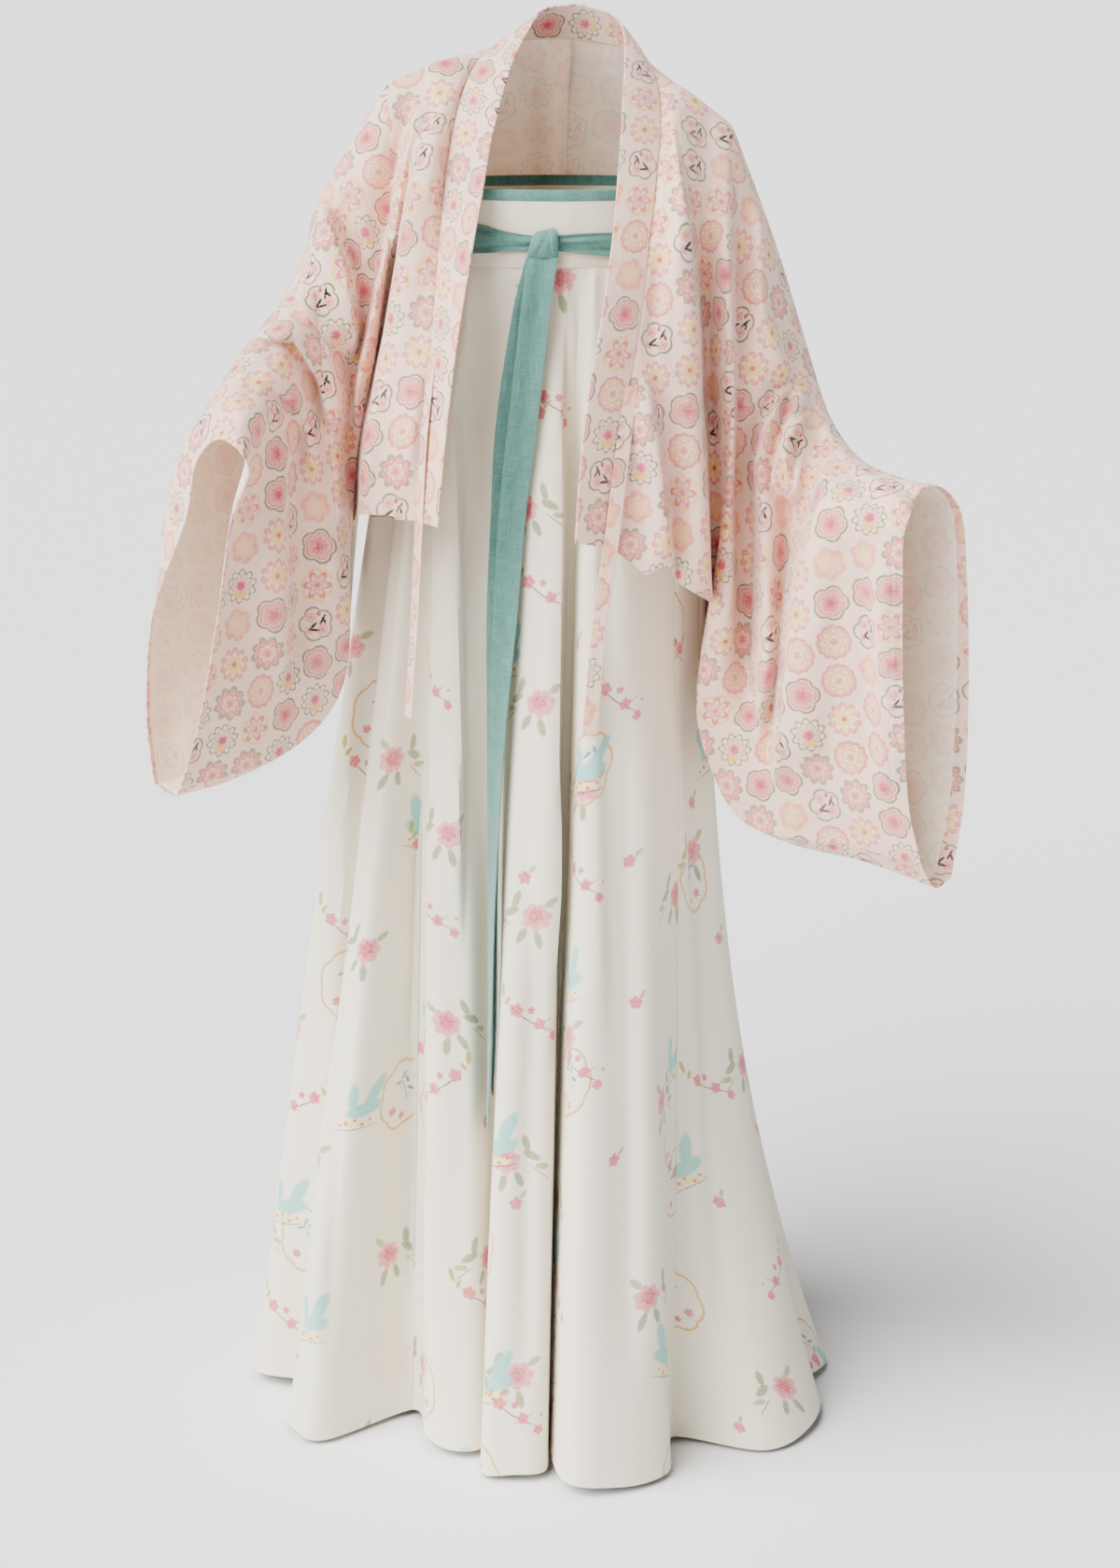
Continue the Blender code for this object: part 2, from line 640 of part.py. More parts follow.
def build_sash(collection):
    """The sash round the band, its knot and its two hanging tails."""
    out = CLOTH + SASH_GAP
    degrees = [360 / BAND_SIDES * step for step in range(BAND_SIDES + 1)]

    def on_sash(angle, across):
        return Vector((*band_point(angle, out), sash_height(angle, across)))

    sheet("sash_wrap", on_sash, degrees, (-1.0, 0.0, 1.0), "green_linen", collection)

    front = band_point(KNOT_DEG, out + CLOTH / 2 + SEAM_GAP)
    work = bmesh.new()
    bmesh.ops.create_uvsphere(work, u_segments=14, v_segments=9, radius=0.5)
    for corner in work.verts:
        place = corner.co.normalized()
        box = [math.copysign(abs(value) ** KNOT_SQUARENESS, value) for value in place]
        corner.co.x = KNOT_PLACE[0] + box[0] * KNOT_SIZE[0] / 2
        corner.co.y = front.y - KNOT_SIZE[1] / 2 + box[1] * KNOT_SIZE[1] / 2
        corner.co.z = KNOT_PLACE[1] + box[2] * KNOT_SIZE[2] / 2
    mesh = bpy.data.meshes.new("sash_knot")
    work.to_mesh(mesh)
    work.free()
    place_object("sash_knot", mesh, "green_linen", collection)

    shares = [step / TAIL_STEPS for step in range(TAIL_STEPS + 1)]
    for name, strips in SASH_TAILS.items():

        def on_tail(across, share, strips=strips):
            return strip_point(strips, across, share)

        sheet(f"sash_tail_{name}", on_tail, (0.0, 0.5, 1.0), shares, "green_linen", collection)


def armhole_place(side, row, way):
    """A place beside the sleeve seam, on the body where way is negative and on the sleeve where not."""
    row = min(row, PATH_ROWS)
    root = sleeve_point(side, 0.0, row)
    before = body_point(side, 1.0 - SEAM_REACH, row)
    after = sleeve_point(side, SEAM_REACH / 4, row)
    return seam_place(root, before, after, way, ARMHOLE_GAP)


def build_jacket(collection):
    """The two halves of the body, the sleeves, the collar band and the ties."""
    rows = list(range(PATH_ROWS + 1))
    for side in ("left", "right"):

        def on_body(share, row, side=side):
            if share in ("seam", "edge"):
                return armhole_place(side, row, -2 if share == "seam" else -1)
            place = body_point(side, share, row)
            if share == 0.0 and row >= FRONT_ROWS + NECK_ROWS:
                place.x += math.copysign(2 * SEAM_GAP, FOLD_LINE[side][0].x)
            elif share == 0.0:
                near = body_point(side, COLLAR_START, row)
                place += (near - place).normalized() * SEAM_GAP
            return place

        sheet(f"jacket_body_{side}", on_body, BODY_COLUMNS, rows, "printed_cotton", collection)

        def on_sleeve(share, row, side=side):
            if share in ("edge", "seam") and row <= PATH_ROWS:
                return armhole_place(side, row, 2 if share == "seam" else 1)
            share = {"edge": 0.0, "seam": SEAM_SHARE}.get(share, share)
            return sleeve_point(side, share, row)

        steps = SLEEVE_STEPS * len(SLEEVES[side])
        columns = ["edge", "seam"] + [step / steps for step in range(1, steps + 1)]
        ring = list(range(PATH_ROWS + UNDER_ROWS + 1))
        sheet(f"sleeve_{side}", on_sleeve, columns, ring, "printed_cotton", collection)

        def on_tie(across, share, side=side):
            return strip_point(TIES[side], across, share)

        shares = [step / TIE_STEPS for step in range(TIE_STEPS + 1)]
        sheet(f"tie_{side}", on_tie, (0.0, 1.0), shares, "printed_cotton", collection)

    rows = list(range(2 * (FRONT_ROWS + NECK_ROWS) + 1))
    sheet("collar_band", collar_point, COLLAR_COLUMNS, rows, "printed_cotton", collection, DOUBLE_CLOTH)


def main():
    for old in list(bpy.data.objects):
        bpy.data.objects.remove(old, do_unlink=True)
    collection = bpy.data.collections.new("hanfu")
    bpy.context.scene.collection.children.link(collection)
    build_skirt(collection)
    build_sash(collection)
    build_jacket(collection)


main()
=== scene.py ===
"""Two-piece hanfu, worn: an open, wide-sleeved printed jacket over a chest-high gored skirt with a sash.

Metres, +Z up, front to -Y. Tables give heights over the floor, which is HELD_HEIGHT below the origin.
Every cloth piece is a grid shaped by named lines, thickened, and printed along its own weave.
"""

import math
from collections import namedtuple

import bpy
import numpy as np
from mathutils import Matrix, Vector


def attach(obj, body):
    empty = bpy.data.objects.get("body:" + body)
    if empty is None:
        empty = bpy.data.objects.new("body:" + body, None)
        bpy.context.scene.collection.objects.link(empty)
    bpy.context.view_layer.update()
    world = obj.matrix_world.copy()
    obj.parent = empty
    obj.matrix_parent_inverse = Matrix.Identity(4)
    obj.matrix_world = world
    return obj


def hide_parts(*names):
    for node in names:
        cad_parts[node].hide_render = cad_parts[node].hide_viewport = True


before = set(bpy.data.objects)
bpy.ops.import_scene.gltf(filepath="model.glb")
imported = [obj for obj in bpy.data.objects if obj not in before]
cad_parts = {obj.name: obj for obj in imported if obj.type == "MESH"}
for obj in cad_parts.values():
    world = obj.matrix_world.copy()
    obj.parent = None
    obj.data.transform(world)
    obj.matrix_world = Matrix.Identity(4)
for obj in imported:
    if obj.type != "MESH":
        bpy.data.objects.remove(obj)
bpy.ops.object.select_all(action="DESELECT")
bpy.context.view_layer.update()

HELD_HEIGHT = 1.300
CLOTH = 0.0010
DOUBLE_CLOTH = 0.0018
TIE_CLOTH = 0.0014
# How far a folded strip's edges are rounded.
FOLDED_EDGE = 0.0006
TIE_EDGE = 0.0004
# Where along the print the collar band and the ties were cut, in metres.
COLLAR_PRINT_START = 0.5
TIE_PRINT_START = 0.013

HEM_HEIGHT = 0.008
SKIRT_TOP = 1.127
HEM_CENTRE = (-0.020, -0.030)
BAND_HALF_WIDTH = 0.140
BAND_HALF_DEPTH = 0.104
BAND_HEIGHT = 0.060
BINDING_HEIGHT = 0.010
FOLD_SHOULDER = 0.955
VALLEY_EASE = 1.25

SASH_WIDTH = 0.029
SASH_TILT = 0.006
KNOT_SIZE = (0.034, 0.013, 0.024)
KNOT_PLACE = (-0.016, 1.150)
RECESS_DEPTH = 0.020

FRONT_ROWS = 12
NECK_ROWS = 4
BACK_ROWS = 6
PATH_ROWS = FRONT_ROWS + NECK_ROWS + BACK_ROWS
UNDER_ROWS = 4
# How far the sleeve's lower edge sags under its foot line.
UNDER_SAG = 0.006

# Each skirt fold: its crest on the hem (degrees round the hem's centre, reach, half width in degrees) and
# on the band, the valley after it, and how late it swings out (1 is a straight line from band to hem).
Fold = namedtuple(
    "Fold",
    "name crest_deg reach half_deg band_deg band_half valley_deg valley_reach valley_band ease",
)
FOLDS = (
    Fold("side_right", 2, 0.294, 8, 2, 6, 16, 0.240, 15, 3.20),
    Fold("back_1", 29, 0.278, 8, 28, 6, 42, 0.212, 41, 2.20),
    Fold("back_2", 55, 0.262, 8, 54, 7, 68, 0.205, 67, 1.30),
    Fold("back_3", 80, 0.250, 8, 79, 6, 93, 0.192, 92, 1.00),
    Fold("back_4", 106, 0.258, 9, 105, 7, 119, 0.200, 118, 1.00),
    Fold("back_5", 131, 0.268, 8, 131, 6, 144, 0.214, 144, 1.00),
    Fold("back_6", 157, 0.284, 8, 157, 6, 170, 0.226, 170, 0.95),
    Fold("side_left", 182, 0.292, 6, 184, 6, 196, 0.222, 195, 0.90),
    Fold("front_1", 212, 0.284, 7, 204, 5, 221, 0.168, 211, 1.10),
    Fold("front_2", 246, 0.216, 8, 221, 6, 256, 0.152, 243, 1.00),
    Fold("front_3", 264, 0.250, 7.5, 266, 6, 272, 0.158, 277, 1.00),
    Fold("front_4", 286, 0.284, 11, 288, 6, 308, 0.212, 320, 1.00),
    Fold("front_5", 331, 0.304, 12, 338, 7, 348, 0.252, 350, 2.70),
)
# The gores meet in the valleys after these folds.
GORES = (
    ("skirt_side_right", "front_4", "back_2"),
    ("skirt_back", "back_2", "back_5"),
    ("skirt_side_left", "back_5", "front_1"),
    ("skirt_front", "front_1", "front_4"),
)

# Lines down the cloth, a row of (height, x, y) for each point: collar seam, crest of the front's fold and
# sleeve seam of each front, from the hem up to the shoulder.
COLLAR_SEAM = {
    "left": (
        (0.905, -0.131, -0.166),
        (0.975, -0.125, -0.154),
        (1.040, -0.119, -0.140),
        (1.090, -0.115, -0.124),
        (1.150, -0.110, -0.105),
        (1.222, -0.103, -0.068),
        (1.279, -0.091, -0.026),
        (1.312, -0.073, 0.016),
    ),
    "right": (
        (0.884, 0.046, -0.188),
        (0.960, 0.054, -0.178),
        (1.030, 0.063, -0.164),
        (1.082, 0.072, -0.148),
        (1.157, 0.082, -0.117),
        (1.212, 0.089, -0.083),
        (1.260, 0.093, -0.042),
        (1.296, 0.088, 0.004),
    ),
}
FOLD_LINE = {
    "left": (
        (0.905, -0.184, -0.134),
        (0.965, -0.178, -0.127),
        (1.021, -0.169, -0.118),
        (1.089, -0.156, -0.104),
        (1.148, -0.146, -0.090),
        (1.215, -0.132, -0.066),
        (1.276, -0.116, -0.028),
        (1.308, -0.113, 0.004),
    ),
    "right": (
        (0.827, 0.137, -0.146),
        (0.930, 0.132, -0.138),
        (1.040, 0.125, -0.124),
        (1.110, 0.121, -0.108),
        (1.160, 0.119, -0.092),
        (1.215, 0.118, -0.064),
        (1.258, 0.120, -0.030),
        (1.279, 0.122, 0.000),
    ),
}
SLEEVE_SEAM = {
    "left": (
        (0.878, -0.199, -0.078),
        (0.965, -0.188, -0.086),
        (1.060, -0.170, -0.084),
        (1.150, -0.159, -0.070),
        (1.240, -0.158, -0.040),
        (1.288, -0.161, 0.000),
    ),
    "right": (
        (0.822, 0.142, -0.086),
        (0.930, 0.156, -0.086),
        (1.040, 0.159, -0.082),
        (1.130, 0.159, -0.068),
        (1.205, 0.160, -0.040),
        (1.250, 0.161, 0.000),
    ),
}
# Round the back of the neck from the shoulder, then down the middle of the back.
NECK_SEAM = {
    "left": ((1.312, -0.073, 0.016), (1.324, -0.048, 0.052), (1.327, 0.012, 0.072)),
    "right": ((1.296, 0.088, 0.004), (1.316, 0.070, 0.048), (1.327, 0.012, 0.072)),
}
CENTRE_BACK = (
    (1.327, 0.012, 0.072),
    (1.250, 0.008, 0.100),
    (1.100, 0.003, 0.130),
    (0.960, 0.000, 0.142),
    (0.835, 0.000, 0.152),
)
BACK_LINE = {
    "left": (
        (1.308, -0.113, 0.004),
        (1.265, -0.112, 0.058),
        (1.120, -0.112, 0.108),
        (0.960, -0.118, 0.128),
        (0.842, -0.124, 0.138),
    ),
    "right": (
        (1.279, 0.122, 0.000),
        (1.240, 0.116, 0.056),
        (1.110, 0.112, 0.106),
        (0.960, 0.112, 0.126),
        (0.838, 0.114, 0.136),
    ),
}
BACK_SEAM = {
    "left": (
        (1.288, -0.161, 0.000),
        (1.236, -0.161, 0.046),
        (1.120, -0.164, 0.082),
        (0.980, -0.180, 0.096),
        (0.880, -0.199, 0.084),
    ),
    "right": (
        (1.250, 0.161, 0.000),
        (1.200, 0.160, 0.046),
        (1.090, 0.158, 0.082),
        (0.950, 0.156, 0.096),
        (0.826, 0.158, 0.080),
    ),
}
SIDE_SEAM_FOOT = {"left": (0.864, -0.207, 0.0), "right": (0.808, 0.160, -0.004)}

# The collar band's free edge, from the hem to the back of the neck.
COLLAR_EDGE = {
    "left": (
        (0.905, -0.110, -0.203),
        (0.975, -0.103, -0.190),
        (1.063, -0.093, -0.168),
        (1.149, -0.079, -0.138),
        (1.200, -0.069, -0.114),
        (1.250, -0.060, -0.080),
        (1.305, -0.045, -0.028),
        (1.345, -0.024, 0.018),
    ),
    "right": (
        (0.892, 0.013, -0.212),
        (0.960, 0.018, -0.203),
        (1.030, 0.027, -0.188),
        (1.090, 0.037, -0.169),
        (1.150, 0.046, -0.140),
        (1.205, 0.052, -0.107),
        (1.270, 0.057, -0.060),
        (1.331, 0.059, 0.012),
    ),
}
NECK_EDGE = {
    "left": ((1.345, -0.024, 0.018), (1.356, -0.010, 0.042), (1.360, 0.016, 0.052)),
    "right": ((1.331, 0.059, 0.012), (1.352, 0.046, 0.042), (1.360, 0.016, 0.052)),
}

# Each sleeve from the armhole to the cuff: the ridge along the arm, the foot of the hanging cloth, how far
# the loop is turned towards the side, and how far the cloth stands off that line in front and behind.
Station = namedtuple(
    "Station",
    "ridge_x ridge_y ridge_height foot_x foot_y foot_height turn_deg front front_arm back back_high "
    "back_arm",
)
SLEEVES = {
    "left": (
        Station(-0.225, -0.004, 1.186, -0.199, -0.080, 0.800, 4, 0.052, 0.045, 0.052, 0.052, 0.045),
        Station(-0.240, -0.030, 1.130, -0.206, -0.084, 0.752, 12, 0.050, 0.044, 0.050, 0.050, 0.043),
        Station(-0.260, -0.082, 1.088, -0.226, -0.096, 0.714, 26, 0.046, 0.042, 0.052, 0.050, 0.043),
        Station(-0.284, -0.140, 1.055, -0.260, -0.124, 0.684, 36, 0.040, 0.042, 0.056, 0.054, 0.044),
        Station(-0.298, -0.186, 1.024, -0.302, -0.160, 0.668, 42, 0.034, 0.044, 0.062, 0.060, 0.045),
        Station(-0.304, -0.210, 1.006, -0.336, -0.186, 0.662, 45, 0.030, 0.045, 0.070, 0.068, 0.045),
        Station(-0.300, -0.226, 0.988, -0.356, -0.206, 0.662, 46, 0.026, 0.045, 0.060, 0.034, 0.032),
    ),
    "right": (
        Station(0.204, -0.004, 1.138, 0.131, -0.088, 0.718, 4, 0.052, 0.045, 0.052, 0.052, 0.045),
        Station(0.238, -0.018, 1.030, 0.152, -0.092, 0.648, 12, 0.050, 0.044, 0.048, 0.048, 0.042),
        Station(0.250, -0.064, 0.984, 0.184, -0.104, 0.608, 28, 0.046, 0.042, 0.046, 0.046, 0.040),
        Station(0.270, -0.122, 0.956, 0.228, -0.128, 0.592, 40, 0.042, 0.040, 0.045, 0.045, 0.040),
        Station(0.302, -0.172, 0.946, 0.286, -0.160, 0.586, 48, 0.040, 0.038, 0.045, 0.045, 0.040),
        Station(0.334, -0.200, 0.942, 0.350, -0.192, 0.570, 51, 0.040, 0.036, 0.045, 0.045, 0.040),
    ),
}
# Round a sleeve's loop, on each side of the ridge: the height over the foot as a share, which of the
# station's widths holds there, and the share of it that the cloth reaches.
Loop = namedtuple("Loop", "up front back out")
SLEEVE_LOOP = (
    Loop(0.00, "front", "back", 0.45),
    Loop(0.20, "front", "back", 0.85),
    Loop(0.48, "front", "back", 1.00),
    Loop(0.76, "front", "back_high", 0.98),
    Loop(0.93, "front_arm", "back_arm", 0.90),
    Loop(1.00, "front_arm", "back_arm", 0.00),
)

# Drawn folds of the jacket's hanging cloth, seen from the front: how far the cloth stands out (less than
# nothing is a trough), how wide it rounds away on its soft and its sharp side, the side of the line where it
# drops off (1 is right of a line drawn downwards), and the line itself as (x, height).
Drawn = namedtuple("Drawn", "depth soft sharp drop line")
FRONT_FOLDS = {
    "left": (
        Drawn(0.010, 0.012, 0.004, -1, (
            (-0.128, 1.284), (-0.141, 1.222), (-0.149, 1.170), (-0.155, 1.129),
        )),
        Drawn(0.013, 0.020, 0.004, -1, (
            (-0.104, 1.270), (-0.127, 1.233), (-0.135, 1.189), (-0.143, 1.148), (-0.156, 1.093),
            (-0.167, 1.041), (-0.177, 0.992), (-0.184, 0.949), (-0.190, 0.885),
        )),
        Drawn(0.015, 0.008, 0.0035, -1, (
            (-0.140, 1.255), (-0.150, 1.204), (-0.156, 1.156), (-0.164, 1.121), (-0.173, 1.086),
            (-0.181, 1.051), (-0.187, 1.016), (-0.192, 0.960),
        )),
        Drawn(0.018, 0.026, 0.0045, 1, (
            (-0.228, 1.188), (-0.210, 1.157), (-0.198, 1.126), (-0.193, 1.094), (-0.191, 1.062),
            (-0.192, 1.030),
        )),
        Drawn(0.012, 0.014, 0.004, -1, (
            (-0.262, 1.120), (-0.240, 1.100), (-0.222, 1.078), (-0.206, 1.050),
        )),
        Drawn(0.017, 0.018, 0.0045, -1, (
            (-0.286, 1.068), (-0.262, 1.070), (-0.241, 1.067), (-0.228, 1.047), (-0.218, 1.023),
            (-0.213, 0.996), (-0.209, 0.970),
        )),
        Drawn(0.012, 0.012, 0.005, 1, (
            (-0.243, 1.082), (-0.224, 1.062), (-0.208, 1.034), (-0.203, 1.008), (-0.205, 0.970),
            (-0.205, 0.900), (-0.210, 0.820),
        )),
        Drawn(0.008, 0.014, 0.005, -1, (
            (-0.262, 1.038), (-0.240, 1.010), (-0.230, 0.980), (-0.225, 0.940),
        )),
        Drawn(0.013, 0.018, 0.005, 1, (
            (-0.238, 1.010), (-0.246, 0.980), (-0.251, 0.945), (-0.253, 0.900), (-0.252, 0.820),
            (-0.258, 0.740),
        )),
        Drawn(-0.010, 0.012, 0.010, 1, ((-0.193, 1.000), (-0.197, 0.930), (-0.200, 0.860))),
        Drawn(0.007, 0.012, 0.008, 1, (
            (-0.300, 1.018), (-0.277, 1.010), (-0.256, 1.004), (-0.243, 0.990),
        )),
        Drawn(0.006, 0.014, 0.006, -1, (
            (-0.215, 1.230), (-0.200, 1.190), (-0.180, 1.150), (-0.175, 1.110),
        )),
    ),
    "right": (
        Drawn(0.014, 0.022, 0.0035, 1, (
            (0.100, 1.262), (0.110, 1.203), (0.117, 1.161), (0.120, 1.122), (0.125, 1.079),
            (0.127, 1.036), (0.129, 0.982), (0.133, 0.927), (0.137, 0.815),
        )),
        Drawn(-0.009, 0.009, 0.011, 1, (
            (0.133, 1.190), (0.134, 1.106), (0.138, 1.034), (0.143, 0.961), (0.147, 0.870),
        )),
        Drawn(0.014, 0.016, 0.0035, 1, (
            (0.157, 1.225), (0.158, 1.140), (0.158, 1.069), (0.160, 0.960), (0.160, 0.747),
        )),
        Drawn(-0.012, 0.012, 0.010, 1, (
            (0.164, 0.990), (0.171, 0.924), (0.177, 0.880), (0.178, 0.790), (0.176, 0.700),
        )),
        Drawn(0.020, 0.020, 0.0045, -1, (
            (0.234, 1.024), (0.204, 1.004), (0.190, 0.975), (0.185, 0.944), (0.188, 0.900),
            (0.187, 0.856), (0.185, 0.756), (0.190, 0.680),
        )),
        Drawn(0.013, 0.013, 0.0045, -1, (
            (0.238, 1.012), (0.225, 1.008), (0.213, 0.981), (0.208, 0.960), (0.210, 0.934),
            (0.216, 0.905),
        )),
        Drawn(0.025, 0.030, 0.0035, -1, (
            (0.270, 0.964), (0.253, 0.956), (0.243, 0.943), (0.235, 0.916), (0.224, 0.880),
            (0.215, 0.834), (0.209, 0.755), (0.204, 0.690), (0.202, 0.640),
        )),
        Drawn(0.013, 0.018, 0.0035, 1, (
            (0.076, 1.040), (0.088, 0.980), (0.094, 0.930), (0.100, 0.862), (0.101, 0.840),
        )),
        Drawn(0.007, 0.016, 0.009, 1, ((0.173, 1.130), (0.188, 1.080), (0.205, 1.038), (0.219, 1.018))),
        Drawn(0.008, 0.012, 0.006, 1, ((0.262, 0.964), (0.286, 0.946), (0.308, 0.928), (0.318, 0.900))),
        Drawn(-0.004, 0.012, 0.008, 1, (
            (0.095, 1.275), (0.102, 1.202), (0.094, 1.142), (0.085, 1.089), (0.080, 1.035),
        )),
        Drawn(0.006, 0.014, 0.008, -1, ((0.188, 1.190), (0.186, 1.130), (0.190, 1.070))),
        Drawn(0.008, 0.010, 0.004, -1, (
            (0.241, 0.992), (0.222, 0.984), (0.205, 0.966), (0.201, 0.931), (0.212, 0.905),
        )),
        Drawn(0.008, 0.012, 0.004, -1, (
            (0.243, 0.984), (0.262, 0.960), (0.280, 0.948), (0.304, 0.944),
        )),
        Drawn(-0.014, 0.011, 0.012, 1, (
            (0.172, 0.940), (0.172, 0.880), (0.174, 0.810), (0.178, 0.740),
        )),
        Drawn(-0.008, 0.010, 0.009, 1, ((0.213, 0.930), (0.209, 0.860), (0.203, 0.790))),
        Drawn(0.008, 0.016, 0.006, -1, (
            (0.282, 0.900), (0.287, 0.840), (0.290, 0.771), (0.296, 0.681), (0.302, 0.640),
        )),
    ),
}
BACK_FOLDS = {
    "left": (
        Drawn(0.012, 0.022, 0.005, 1, ((-0.050, 1.210), (-0.054, 1.020), (-0.060, 0.820))),
        Drawn(0.013, 0.020, 0.005, -1, ((-0.140, 1.200), (-0.152, 1.030), (-0.150, 0.850))),
        Drawn(0.015, 0.024, 0.005, 1, ((-0.215, 1.120), (-0.223, 0.950), (-0.214, 0.780))),
        Drawn(0.013, 0.022, 0.005, -1, ((-0.268, 1.030), (-0.280, 0.860), (-0.282, 0.680))),
        Drawn(0.007, 0.016, 0.008, 1, ((-0.100, 1.220), (-0.104, 1.080), (-0.098, 0.930))),
        Drawn(0.008, 0.014, 0.006, -1, ((-0.235, 1.120), (-0.200, 1.080), (-0.180, 1.020))),
    ),
    "right": (
        Drawn(0.013, 0.020, 0.005, -1, ((0.052, 1.200), (0.056, 1.010), (0.064, 0.820))),
        Drawn(0.012, 0.022, 0.005, 1, ((0.136, 1.190), (0.144, 1.010), (0.140, 0.830))),
        Drawn(0.015, 0.024, 0.005, -1, ((0.205, 1.050), (0.207, 0.880), (0.192, 0.700))),
        Drawn(0.013, 0.022, 0.005, 1, ((0.262, 0.930), (0.265, 0.780), (0.256, 0.620))),
        Drawn(0.007, 0.016, 0.008, -1, ((0.095, 1.210), (0.098, 1.090), (0.090, 0.950))),
        Drawn(0.008, 0.014, 0.006, 1, ((0.225, 1.040), (0.200, 1.010), (0.178, 0.960))),
    ),
}

# The skirt's smaller folds, in front and behind.
SKIRT_FOLDS = {
    "front": (
        Drawn(0.009, 0.026, 0.006, -1, (
            (-0.122, 0.700), (-0.127, 0.585), (-0.132, 0.430), (-0.137, 0.241), (-0.142, 0.030),
        )),
        Drawn(-0.008, 0.020, 0.012, 1, (
            (0.062, 0.780), (0.064, 0.612), (0.066, 0.336), (0.066, 0.060),
        )),
        Drawn(0.008, 0.022, 0.006, 1, (
            (-0.196, 0.771), (-0.205, 0.612), (-0.224, 0.336), (-0.238, 0.050),
        )),
        Drawn(0.007, 0.028, 0.008, 1, ((0.100, 0.800), (0.115, 0.550), (0.135, 0.250), (0.150, 0.050))),
        Drawn(0.005, 0.020, 0.005, 1, ((0.030, 0.950), (0.034, 0.700), (0.040, 0.400))),
        Drawn(0.010, 0.024, 0.003, 1, (
            (-0.080, 1.100), (-0.090, 1.040), (-0.096, 1.000), (-0.094, 0.885), (-0.093, 0.690),
            (-0.095, 0.480),
        )),
        Drawn(0.010, 0.018, 0.003, 1, (
            (0.004, 1.100), (0.000, 1.000), (-0.002, 0.885), (-0.004, 0.800), (-0.006, 0.690),
            (-0.006, 0.420),
        )),
        Drawn(0.004, 0.012, 0.0025, 1, ((-0.082, 1.118), (-0.083, 1.050), (-0.086, 0.960))),
        Drawn(0.004, 0.014, 0.0035, -1, ((0.010, 1.110), (0.012, 1.030), (0.012, 0.940))),
        Drawn(-0.003, 0.010, 0.010, 1, ((-0.060, 1.110), (-0.064, 1.020), (-0.070, 0.900))),
        Drawn(0.005, 0.016, 0.005, 1, ((0.178, 0.560), (0.204, 0.330), (0.224, 0.060))),
        Drawn(-0.005, 0.014, 0.010, -1, ((-0.020, 0.560), (-0.030, 0.330), (-0.034, 0.060))),
    ),
    "back": (
        Drawn(0.007, 0.024, 0.007, 1, ((-0.060, 1.020), (-0.074, 0.700), (-0.086, 0.200))),
        Drawn(0.006, 0.022, 0.007, -1, ((0.040, 0.960), (0.050, 0.600), (0.062, 0.120))),
        Drawn(-0.006, 0.016, 0.012, 1, ((-0.120, 0.900), (-0.150, 0.520), (-0.176, 0.100))),
        Drawn(0.006, 0.024, 0.008, 1, ((0.118, 0.880), (0.150, 0.500), (0.178, 0.080))),
        Drawn(0.005, 0.020, 0.008, -1, ((-0.010, 0.800), (-0.014, 0.420), (-0.010, 0.060))),
    ),
}

# The sash's hanging tails and the jacket's ties, as rows of (height, left x, left y, right x, right y).
SASH_TAILS = {
    "front": (
        (1.1376, -0.030, -0.1131, -0.002, -0.1131),
        (1.090, -0.036, -0.1250, -0.009, -0.1240),
        (0.986, -0.048, -0.1345, -0.021, -0.1340),
        (0.900, -0.057, -0.1425, -0.032, -0.1450),
        (0.809, -0.062, -0.1490, -0.040, -0.1570),
        (0.700, -0.066, -0.1500, -0.051, -0.1720),
        (0.560, -0.068, -0.1600, -0.060, -0.1870),
        (0.440, -0.068, -0.1720, -0.064, -0.2000),
        (0.330, -0.0695, -0.1840, -0.068, -0.2120),
    ),
    "rear": (
        (1.1376, -0.031, -0.1108, -0.004, -0.1108),
        (1.085, -0.044, -0.1165, -0.020, -0.1180),
        (0.986, -0.059, -0.1210, -0.034, -0.1260),
        (0.900, -0.064, -0.1260, -0.041, -0.1350),
        (0.809, -0.068, -0.1320, -0.048, -0.1470),
        (0.700, -0.068, -0.1410, -0.054, -0.1620),
        (0.560, -0.0675, -0.1500, -0.0585, -0.1760),
        (0.440, -0.0645, -0.1630, -0.0600, -0.1900),
        (0.360, -0.0660, -0.1720, -0.0635, -0.1970),
    ),
}
TIES = {
    "left": (
        (1.045, -0.1198, -0.1409, -0.1132, -0.1506),
        (0.980, -0.1265, -0.1580, -0.1205, -0.1705),
        (0.900, -0.1320, -0.1720, -0.1250, -0.1840),
        (0.810, -0.1370, -0.1780, -0.1300, -0.1900),
        (0.725, -0.1430, -0.1800, -0.1365, -0.1920),
    ),
    "right": (
        (1.028, 0.0592, -0.1692, 0.0700, -0.1650),
        (0.970, 0.0500, -0.1840, 0.0630, -0.1800),
        (0.900, 0.0410, -0.1960, 0.0545, -0.1930),
        (0.810, 0.0290, -0.2000, 0.0425, -0.1980),
        (0.712, 0.0200, -0.2010, 0.0335, -0.1990),
    ),
}


def cut(rows):
    """A table of (height, x, y) as points."""
    return np.array(rows)[:, [1, 2, 0]]


def smooth_between(p0, p1, p2, p3, t):
    """A smooth curve's place from the second point (t is 0) to the third (t is 1)."""
    bent = (2 * p0 - 5 * p1 + 4 * p2 - p3) * t**2 + (3 * p1 - p0 - 3 * p2 + p3) * t**3
    return 0.5 * (2 * p1 + (p2 - p0) * t + bent)


